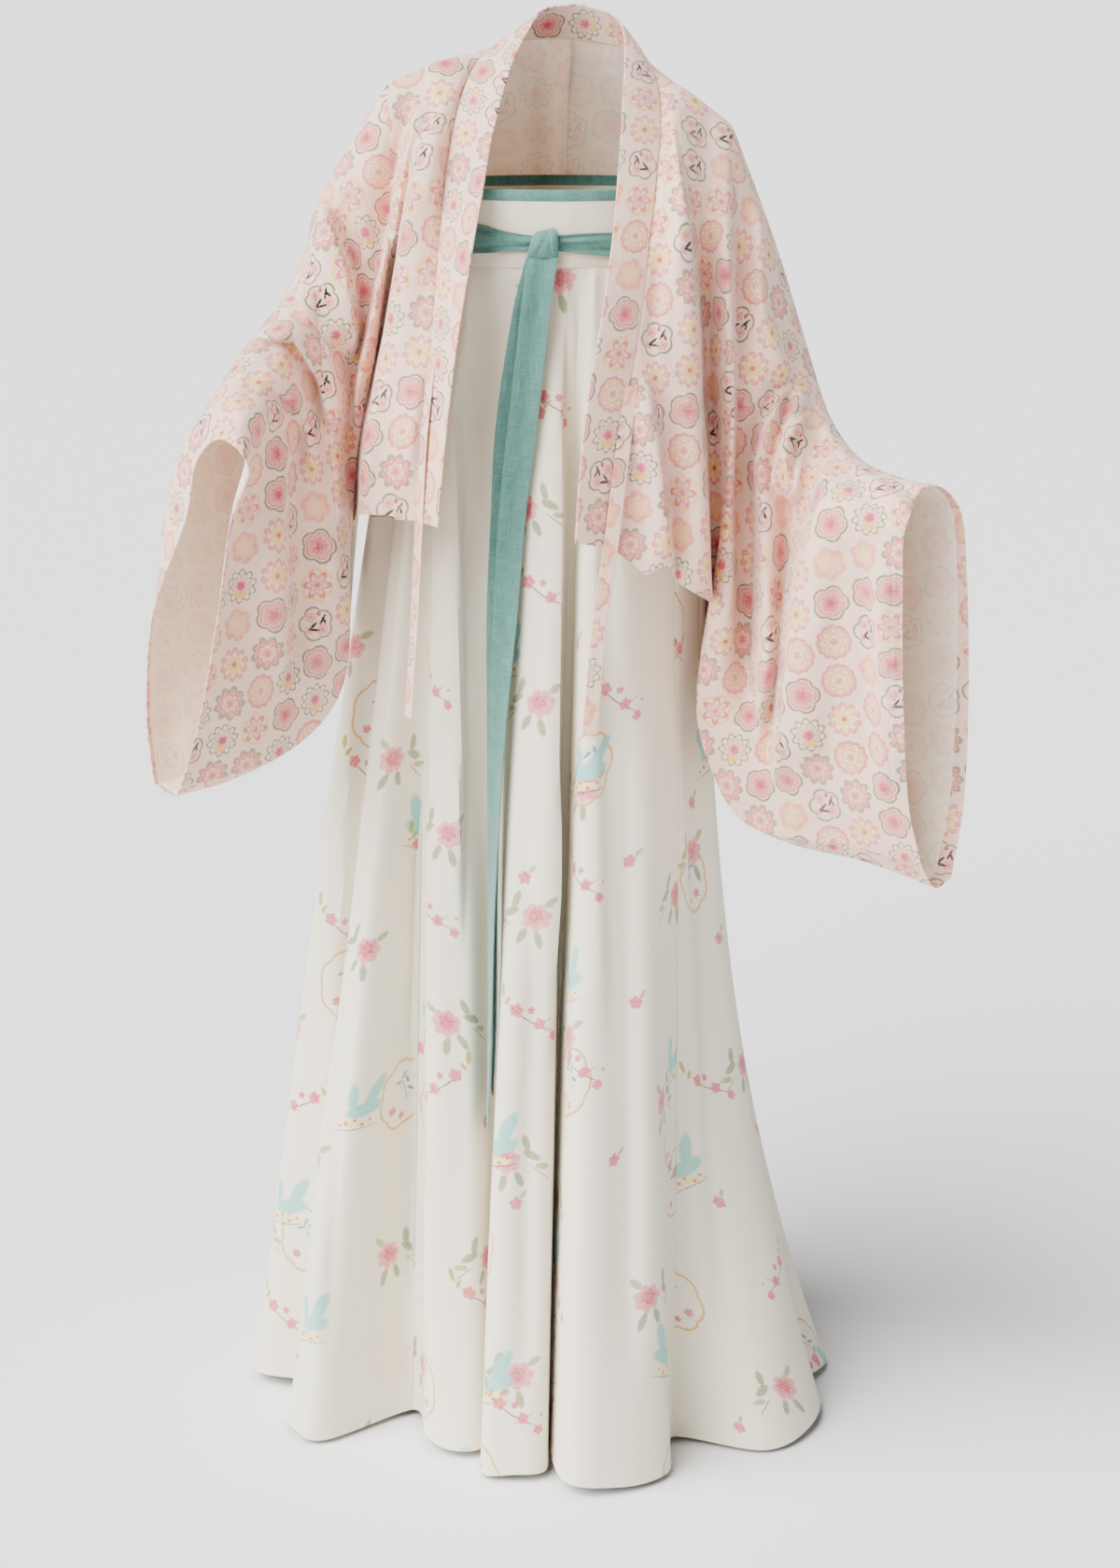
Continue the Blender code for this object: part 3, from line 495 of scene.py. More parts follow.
def spread(points, shares):
    """The places at these shares of a smooth curve through points, which run along the first axis."""
    points = np.asarray(points, float)
    place = np.clip(shares, 0.0, 1.0) * (len(points) - 1)
    index = np.minimum(place.astype(int), len(points) - 2)
    before = 2 * points[:1] - points[1:2]
    after = 2 * points[-1:] - points[-2:-1]
    run = np.concatenate([before, points, after])
    t = (place - index).reshape((-1,) + (1,) * (points.ndim - 1))
    return smooth_between(*(run[index + step] for step in range(4)), t)


def eased(share):
    """A smooth step from 0 to 1."""
    share = np.clip(share, 0.0, 1.0)
    return share * share * (3.0 - 2.0 * share)


def over_shoulder(front, neck, back, rows):
    """Places on one smooth line up the front, past the neck and down the back, at these rows."""
    front, back = cut(front), cut(back)
    stops = [np.linspace(0, FRONT_ROWS, len(front))]
    points = [front]
    passed = FRONT_ROWS
    if neck:
        neck = cut(neck)
        stops.append(np.linspace(FRONT_ROWS, FRONT_ROWS + NECK_ROWS, len(neck))[1:])
        points.append(neck[1:])
        passed += NECK_ROWS
    stops.append(np.linspace(passed, PATH_ROWS, len(back))[1:])
    points.append(back[1:])
    stops, points = np.concatenate(stops), np.concatenate(points)
    return spread(points, np.interp(rows, stops, np.linspace(0, 1, len(stops))))


def outward(places):
    """The direction straight out of a grid of places, whose normal follows its columns and rows."""
    along = np.gradient(places, axis=0)
    down = np.gradient(places, axis=1)
    out = np.cross(along, down)
    return out / np.maximum(np.linalg.norm(out, axis=2, keepdims=True), 1e-9)


def lengths(places, axis):
    """How far along the cloth each place lies, counted along one axis of the grid."""
    steps = np.linalg.norm(np.diff(places, axis=axis), axis=2)
    start = np.zeros_like(np.take(steps, [0], axis=axis))
    return np.concatenate([start, np.cumsum(steps, axis=axis)], axis=axis)


# How deep the hollow under a fold's edge goes, as a share of the fold, and how far it reaches.
HOLLOW = 0.75
HOLLOW_REACH = 0.020


def fold_lift(places, line, depth, soft, sharp, drop):
    """How far a fold drawn as a line of (x, height) lifts the cloth: it rounds away softly on one side,
    and on the side that drop names it falls steeply into a hollow under its edge."""
    x, h = places[..., 0], places[..., 2]
    line = np.asarray(line, float)
    nearest = np.full(x.shape, 9.0)
    aside = np.zeros(x.shape)
    share = np.zeros(x.shape)
    reach = lengths(line[:, None, :], 0)[:, 0]
    for (x0, h0), (x1, h1), passed in zip(line[:-1], line[1:], reach[:-1]):
        run, fall = x1 - x0, h1 - h0
        span = math.hypot(run, fall)
        t = ((x - x0) * run + (h - h0) * fall) / span**2
        held = np.clip(t, 0.0, 1.0)
        away = np.hypot(x - x0 - held * run, h - h0 - held * fall)
        near = away < nearest
        nearest = np.where(near, away, nearest)
        aside = np.where(near, ((h - h0) * run - (x - x0) * fall) / span, aside)
        share = np.where(near, (passed + held * span) / reach[-1], share)
    rounded = np.exp(-((nearest / soft) ** 2))
    hollow = HOLLOW * np.exp(-((nearest / HOLLOW_REACH) ** 2))
    steep = (1.0 + HOLLOW) * np.exp(-((nearest / sharp) ** 2)) - hollow
    fade = np.maximum(eased(share / 0.22) * eased((1.0 - share) / 0.22), 0.0)
    return depth * fade * np.where(aside * drop > 0, steep, rounded)


def wrinkles(places, seed, count, size, depth, turn=0.0, spread_turn=0.5, long=4.0):
    """Many small soft folds, scattered over a grid that is seen from the front."""
    chance = np.random.default_rng(seed)
    x, h = places[..., 0], places[..., 2]
    lift = np.zeros(x.shape)
    for _ in range(count):
        at = places[chance.integers(places.shape[0]), chance.integers(places.shape[1])]
        way = turn + chance.normal(0.0, spread_turn)
        across = (x - at[0]) * math.cos(way) - (h - at[2]) * math.sin(way)
        down = (x - at[0]) * math.sin(way) + (h - at[2]) * math.cos(way)
        width = size * chance.uniform(0.6, 1.5)
        reach = width * long * chance.uniform(0.7, 1.4)
        lift += chance.uniform(-1.0, 1.0) * depth * np.exp(-((across / width) ** 2) - (down / reach) ** 2)
    return lift


# Just behind the ridge of the shoulder and arm, where the print of the back starts anew.
TURN_ROW = FRONT_ROWS + 1.2


def hanging_grain(places, rows):
    """The cloth's own lengths at each place, across its threads and along them. The threads hang straight
    down in front and behind, and both start anew at TURN_ROW, which the rows hold twice."""
    behind = int(np.searchsorted(rows, TURN_ROW)) + 1
    sideways = np.linalg.norm(np.diff(places[..., :2], axis=0), axis=2).mean(axis=1)
    guide = np.empty(places.shape[:2] + (2,))
    guide[..., 0] = np.concatenate([[0.0], np.cumsum(sideways)])[:, None]
    guide[..., 1] = -places[..., 2]
    front, back = slice(0, behind), slice(behind, None)
    return np.concatenate([unrolled(places[:, half], guide[:, half]) for half in (front, back)], axis=1)


def straight_grain(grid, across=0.0, down=0.0):
    """The cloth's own lengths over a grid, counted from these starts."""
    return np.stack([lengths(grid, 0) + across, lengths(grid, 1) + down], axis=2)


def stand_for(piece, node):
    """The piece, as what shows of a solid."""
    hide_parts(node)
    return piece


def laid_grid(name, places):
    """A grid mesh moved to its places, each vertex's column and row, and each face corner's vertex."""
    columns, rows = places.shape[:2]
    bpy.ops.mesh.primitive_grid_add(x_subdivisions=columns - 1, y_subdivisions=rows - 1, size=2.0)
    piece = bpy.context.object
    piece.name = name
    mesh = piece.data
    mesh.name = name
    flat = np.empty(len(mesh.vertices) * 3)
    mesh.vertices.foreach_get("co", flat)
    flat = flat.reshape(-1, 3)
    column = np.rint((flat[:, 0] + 1.0) / 2.0 * (columns - 1)).astype(int)
    row = np.rint((flat[:, 1] + 1.0) / 2.0 * (rows - 1)).astype(int)
    placed = places[column, row] - np.array((0.0, 0.0, HELD_HEIGHT))
    mesh.vertices.foreach_set("co", placed.ravel())
    corners = np.empty(len(mesh.loops), dtype=np.int32)
    mesh.loops.foreach_get("vertex_index", corners)
    mesh.update()
    return piece, column, row, corners


def unrolled(places, guide):
    """The grid laid flat with the least stretch, in metres, moved and turned to follow a rough guide."""
    sheet, column, row, corners = laid_grid("flat_pattern", places)
    bpy.ops.object.mode_set(mode="EDIT")
    bpy.ops.mesh.select_all(action="SELECT")
    bpy.ops.uv.unwrap(method="MINIMUM_STRETCH", margin=0.0)
    bpy.ops.object.mode_set(mode="OBJECT")
    found = np.empty(len(corners) * 2)
    sheet.data.uv_layers[0].data.foreach_get("uv", found)
    flat = np.empty(places.shape[:2] + (2,))
    flat[column[corners], row[corners]] = found.reshape(-1, 2)
    bpy.data.objects.remove(sheet)
    real = lengths(places, 0)[-1].sum() + lengths(places, 1)[:, -1].sum()
    flat *= real / (lengths(flat, 0)[-1].sum() + lengths(flat, 1)[:, -1].sum())
    middle, wanted = flat.mean(axis=(0, 1)), guide.mean(axis=(0, 1))
    left, _, right = np.linalg.svd((flat - middle).reshape(-1, 2).T @ (guide - wanted).reshape(-1, 2))
    return (flat - middle) @ (left @ right) + wanted


def cloth_piece(
    name, places, weave, cloth, reverse=None, thickness=CLOTH, round_edges=0.0, facing_columns=None
):
    """A grid moved to its places, with the weave's lengths as its UV map, thickened to a thin wall. Inside,
    the cloth shows its reverse, but its right side again at the facing's columns."""
    piece, column, row, corners = laid_grid(name, places)
    mesh = piece.data
    lengths_map = mesh.uv_layers[0] if mesh.uv_layers else mesh.uv_layers.new(name="weave")
    lengths_map.name = "weave"
    lengths_map.data.foreach_set("uv", weave[column, row][corners].ravel())
    if facing_columns is not None:
        turned_in = facing_columns[column][corners].reshape(-1, 4).all(axis=1)
        mesh.polygons.foreach_set("material_index", np.where(turned_in, 2, 0).astype(np.int32))
    mesh.update()
    bpy.ops.object.mode_set(mode="EDIT")
    bpy.ops.mesh.select_all(action="SELECT")
    bpy.ops.mesh.remove_doubles(threshold=0.00001)
    bpy.ops.object.mode_set(mode="OBJECT")
    mesh.materials.append(cloth)
    wall = piece.modifiers.new("Wall", "SOLIDIFY")
    wall.thickness = thickness
    wall.offset = 0.0
    if reverse:
        for other in (reverse, cloth, cloth):
            mesh.materials.append(other)
        wall.material_offset = 1
    bpy.ops.object.modifier_apply(modifier=wall.name)
    if round_edges:
        edge = piece.modifiers.new("Edge", "BEVEL")
        edge.width = round_edges
        edge.segments = 2
        edge.limit_method = "ANGLE"
        edge.angle_limit = math.radians(60)
        bpy.ops.object.modifier_apply(modifier=edge.name)
    bpy.ops.object.shade_smooth_by_angle(angle=math.radians(50))
    piece.select_set(False)
    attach(piece, "root")
    return piece


STITCH_PITCH = 0.0034
STITCH = (0.0024, 0.0005, 0.0004)


def sew(name, path, out, thread, standing=CLOTH / 2):
    """A row of small stitches along a path on the cloth, which lies this far under them."""
    passed = lengths(path[:, None, :], 0)[:, 0]
    count = int(passed[-1] / STITCH_PITCH)
    bpy.ops.mesh.primitive_uv_sphere_add(segments=6, ring_count=4, radius=1.0)
    row = bpy.context.object
    row.name = row.data.name = name
    repeat = row.modifiers.new("Repeat", "ARRAY")
    repeat.count = count
    repeat.use_relative_offset = False
    repeat.use_constant_offset = True
    repeat.constant_offset_displace = (4.0, 0.0, 0.0)
    bpy.ops.object.modifier_apply(modifier=repeat.name)
    spots = np.empty(len(row.data.vertices) * 3)
    row.data.vertices.foreach_get("co", spots)
    spots = spots.reshape(-1, 3)
    number = np.rint(spots[:, 0] / 4.0)
    along = (number + 0.5) * STITCH_PITCH + (spots[:, 0] - 4.0 * number) * STITCH[0] / 2
    way = np.gradient(path, axis=0)
    place, way, out = (np.stack([np.interp(along, passed, line[:, k]) for k in range(3)], axis=1)
                       for line in (path, way, out))
    aside = np.cross(out, way)
    aside /= np.linalg.norm(aside, axis=1, keepdims=True)
    place += aside * spots[:, 1:2] * STITCH[1] / 2 + out * (spots[:, 2:] * STITCH[2] / 2 + standing)
    place[:, 2] -= HELD_HEIGHT
    row.data.vertices.foreach_set("co", place.ravel())
    row.data.update()
    row.data.materials.append(thread)
    row.select_set(False)
    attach(row, "root")
    return row


def facing(places, centre):
    """The grid with its columns turned about if its normals point at the centre line rather than away."""
    out = outward(places)
    away = places - np.array((centre[0], centre[1], 0.0))
    away[..., 2] = 0.0
    return places if (out * away).sum() > 0 else places[::-1]


def skirt_rings(shares):
    """The points that shape the skirt's ring at each share of the way from band to hem, four a fold."""
    band, hem, ease = [], [], []

    def add(band_deg, hem_deg, reach, late):
        angle = math.radians(band_deg)
        band.append((BAND_HALF_WIDTH * math.cos(angle), BAND_HALF_DEPTH * math.sin(angle)))
        angle = math.radians(hem_deg)
        hem.append((HEM_CENTRE[0] + reach * math.cos(angle), HEM_CENTRE[1] + reach * math.sin(angle)))
        ease.append(late)

    for fold in FOLDS:
        for side in (-1, 0, 1):
            reach = fold.reach * (FOLD_SHOULDER if side else 1.0)
            on_band = fold.band_deg + side * fold.band_half
            add(on_band, fold.crest_deg + side * fold.half_deg, reach, fold.ease)
        add(fold.valley_band, fold.valley_deg, fold.valley_reach, fold.ease * VALLEY_EASE)
    band, hem = np.array(band), np.array(hem)
    swing = shares[:, None, None] ** np.array(ease)[None, :, None]
    return band[None] + (hem - band)[None] * swing


TINY_GATHERS = 190
SOFT_GATHERS = 80
GATHER_SEED = 11


def gather_lift(places, shares, seed):
    """Tiny gathers below the band and soft folds further down, at places round the skirt's ring."""
    chance = np.random.default_rng(seed)
    count = 4 * len(FOLDS)
    lift = np.zeros((len(places), len(shares)))
    for _ in range(TINY_GATHERS):
        at = chance.uniform(0, count)
        width = chance.uniform(0.10, 0.26)
        reach = chance.uniform(0.02, 0.11)
        away = (places - at + count / 2) % count - count / 2
        lift += 0.0012 * chance.uniform(0.4, 1.0) * np.exp(-((away / width) ** 2))[:, None] * np.exp(
            -((shares / reach) ** 2)
        )
    for _ in range(SOFT_GATHERS):
        at = chance.uniform(0, count)
        width = chance.uniform(0.30, 0.9)
        start, reach = chance.uniform(0.05, 0.9), chance.uniform(0.10, 0.35)
        away = (places - at + count / 2) % count - count / 2
        lift += 0.0028 * chance.uniform(-1.0, 1.0) * np.exp(-((away / width) ** 2))[:, None] * np.exp(
            -(((shares - start) / reach) ** 2)
        )
    return lift


# How high the skirt's hem is turned up, and how much of a place each gore is trimmed at its seams.
TURN_UP = 0.012
SEAM_TRIM = 0.004


def make_skirt(print_cloth, reverse, thread):
    """The four gores, each with its own cut of the print, narrow seams and a turned hem."""
    names = [fold.name for fold in FOLDS]
    drop = SKIRT_TOP - HEM_HEIGHT
    near_band = np.linspace(0.0, 0.12, 26)
    below = np.linspace(0.12, 1.0 - TURN_UP / drop, 112)[1:]
    shares = np.concatenate([near_band, below, [1.0 - 0.008 / drop, 1.0]])
    rings = skirt_rings(shares)
    made = []
    for name, first, last in GORES:
        start = 4 * names.index(first) + 3
        end = 4 * names.index(last) + 3
        end += 4 * len(FOLDS) if end < start else 0
        places = np.concatenate([
            [start + SEAM_TRIM, start + 0.05, start + 0.1],
            np.linspace(start, end, 10 * (end - start) + 1)[2:-2],
            [end - 0.1, end - 0.05, end - SEAM_TRIM],
        ])
        index = np.floor(places).astype(int)
        t = (places - index)[None, :, None]
        count = rings.shape[1]
        flat = smooth_between(*(rings[:, (index + step) % count] for step in (-1, 0, 1, 2)), t)
        heights = np.broadcast_to((SKIRT_TOP - drop * shares)[:, None, None], flat.shape[:2] + (1,))
        grid = np.concatenate([flat, heights], axis=2).transpose(1, 0, 2)
        grid = facing(grid, HEM_CENTRE)
        places = places if np.allclose(grid[0, 0, :2], flat[0, 0]) else places[::-1]
        out = outward(grid)
        out[..., 2] = 0.0
        lift = gather_lift(places, shares, GATHER_SEED)
        from_edge = np.minimum(np.abs(places - start), np.abs(end - places))
        lift += (-0.0009 * np.exp(-((from_edge / 0.06) ** 2)))[:, None]
        facing_front = np.clip(-1.6 * out[..., 1], 0.0, 1.0)
        facing_back = np.clip(1.6 * out[..., 1], 0.0, 1.0)
        lift += facing_front * fold_sum(grid, SKIRT_FOLDS["front"])
        lift += facing_back * fold_sum(grid, SKIRT_FOLDS["back"])
        lift *= 1.0 - np.exp(-((shares / 0.004) ** 2))
        hem = shares > 1.0 - TURN_UP / drop
        grid = grid + out * (lift + 0.0004 * hem)[..., None]
        sway = 0.0025 * np.sin(places * 0.9) + 0.002 * np.sin(places * 2.3 + 1.0)
        grid[..., 2] += sway[:, None] * eased((shares - 0.9) / 0.1)
        around = lengths(grid, 0)
        around = around - around[around.shape[0] // 2]
        weave = np.stack([around + start, lengths(grid, 1)], axis=2)
        piece = cloth_piece(name + "_cloth", grid, weave, print_cloth, reverse)
        stand_for(piece, name)
        turned = int(np.argmax(hem))
        hem_line, hem_out = grid[:, turned], out[:, turned]
        hemming = sew(name + "_hem_stitches", hem_line, hem_out, thread)
        made.append((piece, hemming))
    return made


def make_band(ivory, green, thread):
    """The chest band, and the folded binding along its top."""
    angles = np.radians(np.arange(0, 361, 2))
    foot = SKIRT_TOP + 0.0004
    head = foot + BAND_HEIGHT

    def ring(heights, out):
        grid = np.empty((len(angles), len(heights), 3))
        grid[..., 0] = (BAND_HALF_WIDTH + out) * np.cos(angles)[:, None]
        grid[..., 1] = (BAND_HALF_DEPTH + out) * np.sin(angles)[:, None]
        grid[..., 2] = heights
        return grid

    heights = np.linspace(foot, head, 25)
    across = np.linspace(0, 1, 25)
    ripple = 0.0005 * np.sin(angles * 46)[:, None] * (1 - across) ** 2
    ripple = ripple + 0.0004 * np.sin(angles * 17 + 2)[:, None] * np.sin(across * 9 + 1)
    roll = 0.0006 * np.exp(-(((across - 0.045) / 0.03) ** 2))
    grid = ring(heights, ripple + roll)
    grid[-1] = grid[0]
    grid = facing(grid, (0, 0))
    band = cloth_piece("chest_band_cloth", grid, straight_grain(grid), ivory)
    stand_for(band, "chest_band")
    out = outward(grid)
    seams = [sew(f"chest_band_{edge}_stitches", grid[:, row], out[:, row], thread)
             for edge, row in (("lower", 2), ("upper", 23))]
    heights = np.linspace(head + 0.0004, head + 0.0004 + BINDING_HEIGHT, 7)
    swell = 0.0006 * np.sin(np.linspace(0, math.pi, 7)) + 0.0002 * np.sin(angles * 31)[:, None]
    grid = ring(heights, swell)
    grid[-1] = grid[0]
    grid = facing(grid, (0, 0))
    weave = straight_grain(grid)
    binding = cloth_piece("band_binding_fold", grid, weave, green, None, DOUBLE_CLOTH, FOLDED_EDGE)
    return band, stand_for(binding, "band_binding"), seams


def strip_grid(strips, columns, rows):
    """The grid between a strip's two edges, and each place's share of the way across and down it."""
    table = np.array(strips)
    down = np.linspace(0, 1, rows)
    left, right = spread(table[:, [1, 2, 0]], down), spread(table[:, [3, 4, 0]], down)
    across = np.linspace(0, 1, columns)[:, None]
    return left + (right - left) * across[..., None], across, down[None]


def faced_front(grid):
    """The grid with its columns turned about if its normals point backwards."""
    return grid[::-1] if outward(grid)[..., 1].mean() > 0 else grid


def make_sash(green):
    """The sash round the band, its knot and its two hanging tails."""
    angles = np.radians(np.arange(0, 361, 2))
    degrees = np.degrees(angles)
    from_knot = np.abs((degrees - 263.0 + 180.0) % 360.0 - 180.0)
    wide = eased(from_knot / 34.0)
    middle = KNOT_PLACE[1] - SASH_TILT * np.cos(angles) * wide
    half = (0.22 + (0.28 - 0.12 * eased((np.cos(angles) + 0.2) / 0.6)) * wide) * SASH_WIDTH
    across = np.linspace(-1.0, 1.0, 19)
    pleats = 0.0009 * np.sin(across * 5.5 + 0.7)[None, :] * (1.0 - 0.4 * wide)[:, None]
    pleats = pleats + 0.0013 * np.exp(-(((across - 0.25) / 0.16) ** 2))[None, :] * (1.2 - wide)[:, None]
    pleats = pleats + 0.0005 * np.sin(across[None, :] * 9.0 + 4.0 * np.cos(angles * 3)[:, None])
    grid = np.empty((len(angles), len(across), 3))
    grid[..., 0] = (BAND_HALF_WIDTH + 0.0022 + pleats) * np.cos(angles)[:, None]
    grid[..., 1] = (BAND_HALF_DEPTH + 0.0022 + pleats) * np.sin(angles)[:, None]
    grid[..., 2] = middle[:, None] + across[None, :] * half[:, None]
    grid[-1] = grid[0]
    grid = facing(grid, (0, 0))
    wrap = cloth_piece("sash_wrap_cloth", grid, straight_grain(grid), green)
    stand_for(wrap, "sash_wrap")

    turn = np.linspace(0, 2 * math.pi, 97)
    up = np.linspace(0, 1, 41)
    rounded = np.sqrt(np.clip(1.0 - np.clip((up - 0.70) / 0.30, 0, 1) ** 2, 0.0, 1.0))
    half_width = KNOT_SIZE[0] / 2 * (0.83 - 0.20 * up) * (0.62 + 0.38 * rounded)
    thick = KNOT_SIZE[1] * (0.68 + 0.34 * np.sin(up * math.pi)) * (0.16 + 0.84 * rounded)
    flank = np.sign(np.cos(turn)) * np.abs(np.cos(turn)) ** 0.62
    face = np.sign(np.sin(turn)) * np.abs(np.sin(turn)) ** 0.62
    crease = 0.0016 * np.exp(-(((flank[:, None] + 0.50 - 0.75 * up[None, :]) / 0.15) ** 2))
    crease = crease + 0.0012 * np.exp(-(((flank[:, None] - 0.55 + 0.25 * up[None, :]) / 0.12) ** 2))
    crease = crease * (0.35 + 0.65 * up)[None, :]
    grid = np.empty((len(turn), len(up), 3))
    grid[..., 0] = KNOT_PLACE[0] + flank[:, None] * half_width[None, :] + 0.0030 * up[None, :]
    grid[..., 1] = -(BAND_HALF_DEPTH + 0.0030) - thick[None, :] * (1.0 - face[:, None]) / 2
    grid[..., 1] += np.where(face < 0, -face, 0.0)[:, None] * crease
    grid[..., 2] = KNOT_PLACE[1] + (up - 0.5)[None, :] * KNOT_SIZE[2]
    grid[..., 2] += 0.0016 * flank[:, None] * up[None, :]
    grid[-1] = grid[0]
    knot = cloth_piece("sash_knot_cloth", grid, straight_grain(grid), green)
    stand_for(knot, "sash_knot")

    tails = []
    for name, strips in SASH_TAILS.items():
        grid, across, down = strip_grid(strips, 15, 150)
        bend = 0.0014 * np.sin(across * 6.5 + 1) * (1 - 0.8 * down)
        bend = bend + 0.0012 * np.sin(down * 23 + 2 * across)
        grid[..., 1] -= bend + 0.0012
        grid = faced_front(grid)
        tail = cloth_piece(f"sash_tail_{name}_cloth", grid, straight_grain(grid), green)
        tails.append(stand_for(tail, f"sash_tail_{name}"))
    return wrap, knot, tails


def fold_sum(places, folds):
    """How far a list of folds lifts the cloth in all."""
    lift = np.zeros(places.shape[:2])
    for fold in folds:
        lift += fold_lift(places, fold.line, fold.depth, fold.soft, fold.sharp, fold.drop)
    return lift


def jacket_rows():
    """The rows of a jacket piece: closer together at the front and back hems."""
    front = np.concatenate([[0.0, 0.03, 0.22, 0.26], np.linspace(0.4, TURN_ROW, 112)])
    back = np.concatenate([np.linspace(TURN_ROW, PATH_ROWS - 0.4, 84),
                           [PATH_ROWS - 0.26, PATH_ROWS - 0.22, PATH_ROWS - 0.03, PATH_ROWS]])
    return np.concatenate([front, back])


# How much the drawn folds are deepened, and the most that they may move the cloth.
FOLD_GAIN = 1.7
FOLD_LIMIT = 0.034


def folded(side, places, rows, from_armhole):
    """The jacket's cloth moved by its drawn folds and small wrinkles, which die away over the shoulder. The
    wrinkles also die away at the armhole's seam, from which each column counts its share of the way."""
    on_front = eased((FRONT_ROWS - rows) / 1.6)[None, :]
    on_back = eased((rows - FRONT_ROWS) / 1.6)[None, :]
    deep = [FOLD_LIMIT * np.tanh(FOLD_GAIN / FOLD_LIMIT * fold_sum(places, folds[side]))
            for folds in (FRONT_FOLDS, BACK_FOLDS)]
    lift = on_back * deep[1] - on_front * deep[0]
    seed = {"left": 5, "right": 8}[side]
    small = wrinkles(places, seed, 110, 0.009, 0.0016)
    small = small + wrinkles(places, seed + 20, 34, 0.018, 0.0050, spread_turn=0.25, long=5.0)
    small *= eased(from_armhole / 0.06)[:, None]
    moved = places.copy()
    moved[..., 1] += lift + small * (on_back - on_front)
    return moved


def body_lines(side, rows):
    """The collar seam or back middle, the crest of the front's fold, and the sleeve seam, at these rows."""
    inner = over_shoulder(COLLAR_SEAM[side], NECK_SEAM[side], CENTRE_BACK, rows)
    crest = over_shoulder(FOLD_LINE[side], None, BACK_LINE[side], rows)
    outer = over_shoulder(SLEEVE_SEAM[side], None, BACK_SEAM[side], rows)
    return inner, crest, outer


# How the front hem rises and falls at places across it.
HEM_WAVE = {
    "left": ((-0.190, -0.160, -0.150, -0.130), (0.0, 0.002, -0.002, 0.0)),
    "right": ((0.046, 0.078, 0.101, 0.106, 0.137), (0.0, -0.008, 0.013, 0.001, 0.0)),
}


def make_body(side, printed, reverse, thread):
    """Half of the jacket's body, over the shoulder from the front hem to the back hem."""
    rows = jacket_rows()
    inner, crest, outer = body_lines(side, rows)
    on_front = np.clip(1.0 - rows / (FRONT_ROWS - 2), 0.0, 1.0)[:, None]
    way = np.clip((rows - FRONT_ROWS) / 1.5, -1.0, 1.0)[:, None]
    swell = np.concatenate([0.0 * way, way * (0.004 + 0.003 * on_front), 0.002 + 0.0 * way], axis=1)
    dip = np.concatenate([0.0 * way, RECESS_DEPTH * np.minimum(1.0, 2 * on_front), 0.0 * way], axis=1)
    middle = (inner + crest) / 2 + swell
    recess = crest + (outer - crest) * 0.4 + dip
    shares = np.concatenate(
        [[0.0, 0.008, 0.016, 0.03], np.linspace(0.05, 0.95, 66), [0.97, 0.984, 0.992, 1.0]]
    )
    grid = spread(np.stack([inner, middle, crest, recess, outer]), shares)
    lifted = folded(side, grid, rows, 1.0 - shares)
    grid = grid + (lifted - grid) * eased(shares / 0.12)[:, None, None]
    if outward(grid)[:, :60, 1].mean() > 0:
        grid, shares = grid[::-1], shares[::-1]
    grid[..., 2] += np.interp(grid[..., 0], *HEM_WAVE[side]) * eased((1.6 - rows) / 1.6)
    out = outward(grid)
    seam = -0.0008 * (np.exp(-((shares / 0.02) ** 2)) + np.exp(-(((1 - shares) / 0.02) ** 2)))
    hem = 0.0004 * ((rows < 0.24) | (rows > PATH_ROWS - 0.24))
    grid = grid + out * (seam[:, None] + hem[None, :])[..., None]
    piece = cloth_piece(f"jacket_body_{side}_cloth", grid, hanging_grain(grid, rows), printed, reverse)
    stand_for(piece, f"jacket_body_{side}")
    hems = [sew(f"jacket_body_{side}_{end}_stitches", grid[:, row], out[:, row], thread)
            for end, row in (("front", 3), ("back", len(rows) - 4))]
    return piece, hems


def sleeve_grid(side, shares, rows):
    """The places on a sleeve's loops: shares go from armhole to cuff, rows from the front foot round the
    ridge to the back foot and under the sleeve."""
    path = rows[rows <= PATH_ROWS]
    under = (rows[rows > PATH_ROWS] - PATH_ROWS) / UNDER_ROWS
    stops = np.concatenate([np.linspace(0, FRONT_ROWS, len(SLEEVE_LOOP)),
                            np.linspace(FRONT_ROWS, PATH_ROWS, len(SLEEVE_LOOP))[1:]])
    loops = [over_shoulder(SLEEVE_SEAM[side], None, BACK_SEAM[side], path)]
    for station in SLEEVES[side]:
        ridge = np.array((station.ridge_x, station.ridge_y, station.ridge_height))
        foot = np.array((station.foot_x, station.foot_y, station.foot_height))
        turn = math.radians(station.turn_deg) * (1 if station.ridge_x > 0 else -1)
        across = np.array((math.sin(turn), math.cos(turn), 0.0))
        loop = [(step.up, -step.out * getattr(station, step.front)) for step in SLEEVE_LOOP]
        loop += [(step.up, step.out * getattr(station, step.back)) for step in SLEEVE_LOOP[-2::-1]]
        loop = spread(np.array(loop), np.interp(path, stops, np.linspace(0, 1, len(stops))))
        loops.append(foot + (ridge - foot) * loop[:, :1] + across * loop[:, 1:])
    grid = spread(np.stack(loops), shares)
    feet = [SIDE_SEAM_FOOT[side]]
    feet += [(s.foot_height - UNDER_SAG, s.foot_x, s.foot_y) for s in SLEEVES[side]]
    feet = spread(cut(feet), shares)
    raised = FRONT_RAISE[side] * eased((shares - 0.45) / 0.55)
    grid[..., 2] += raised[:, None] * np.maximum(1.0 - path / 3.0, 0.0)[None, :]
    grid = folded(side, grid, path, shares)
    below = spread(np.stack([grid[:, -1], feet, grid[:, 0]]), under).transpose(1, 0, 2)
    return np.concatenate([grid, below], axis=1)


# How much higher than the back layer the front layer of the sleeve ends at the cuff.
FRONT_RAISE = {"left": 0.006, "right": 0.016}
# Where the cuff's turned-in facing starts, as a share of the sleeve's length.
CUFF_FACING = 0.964


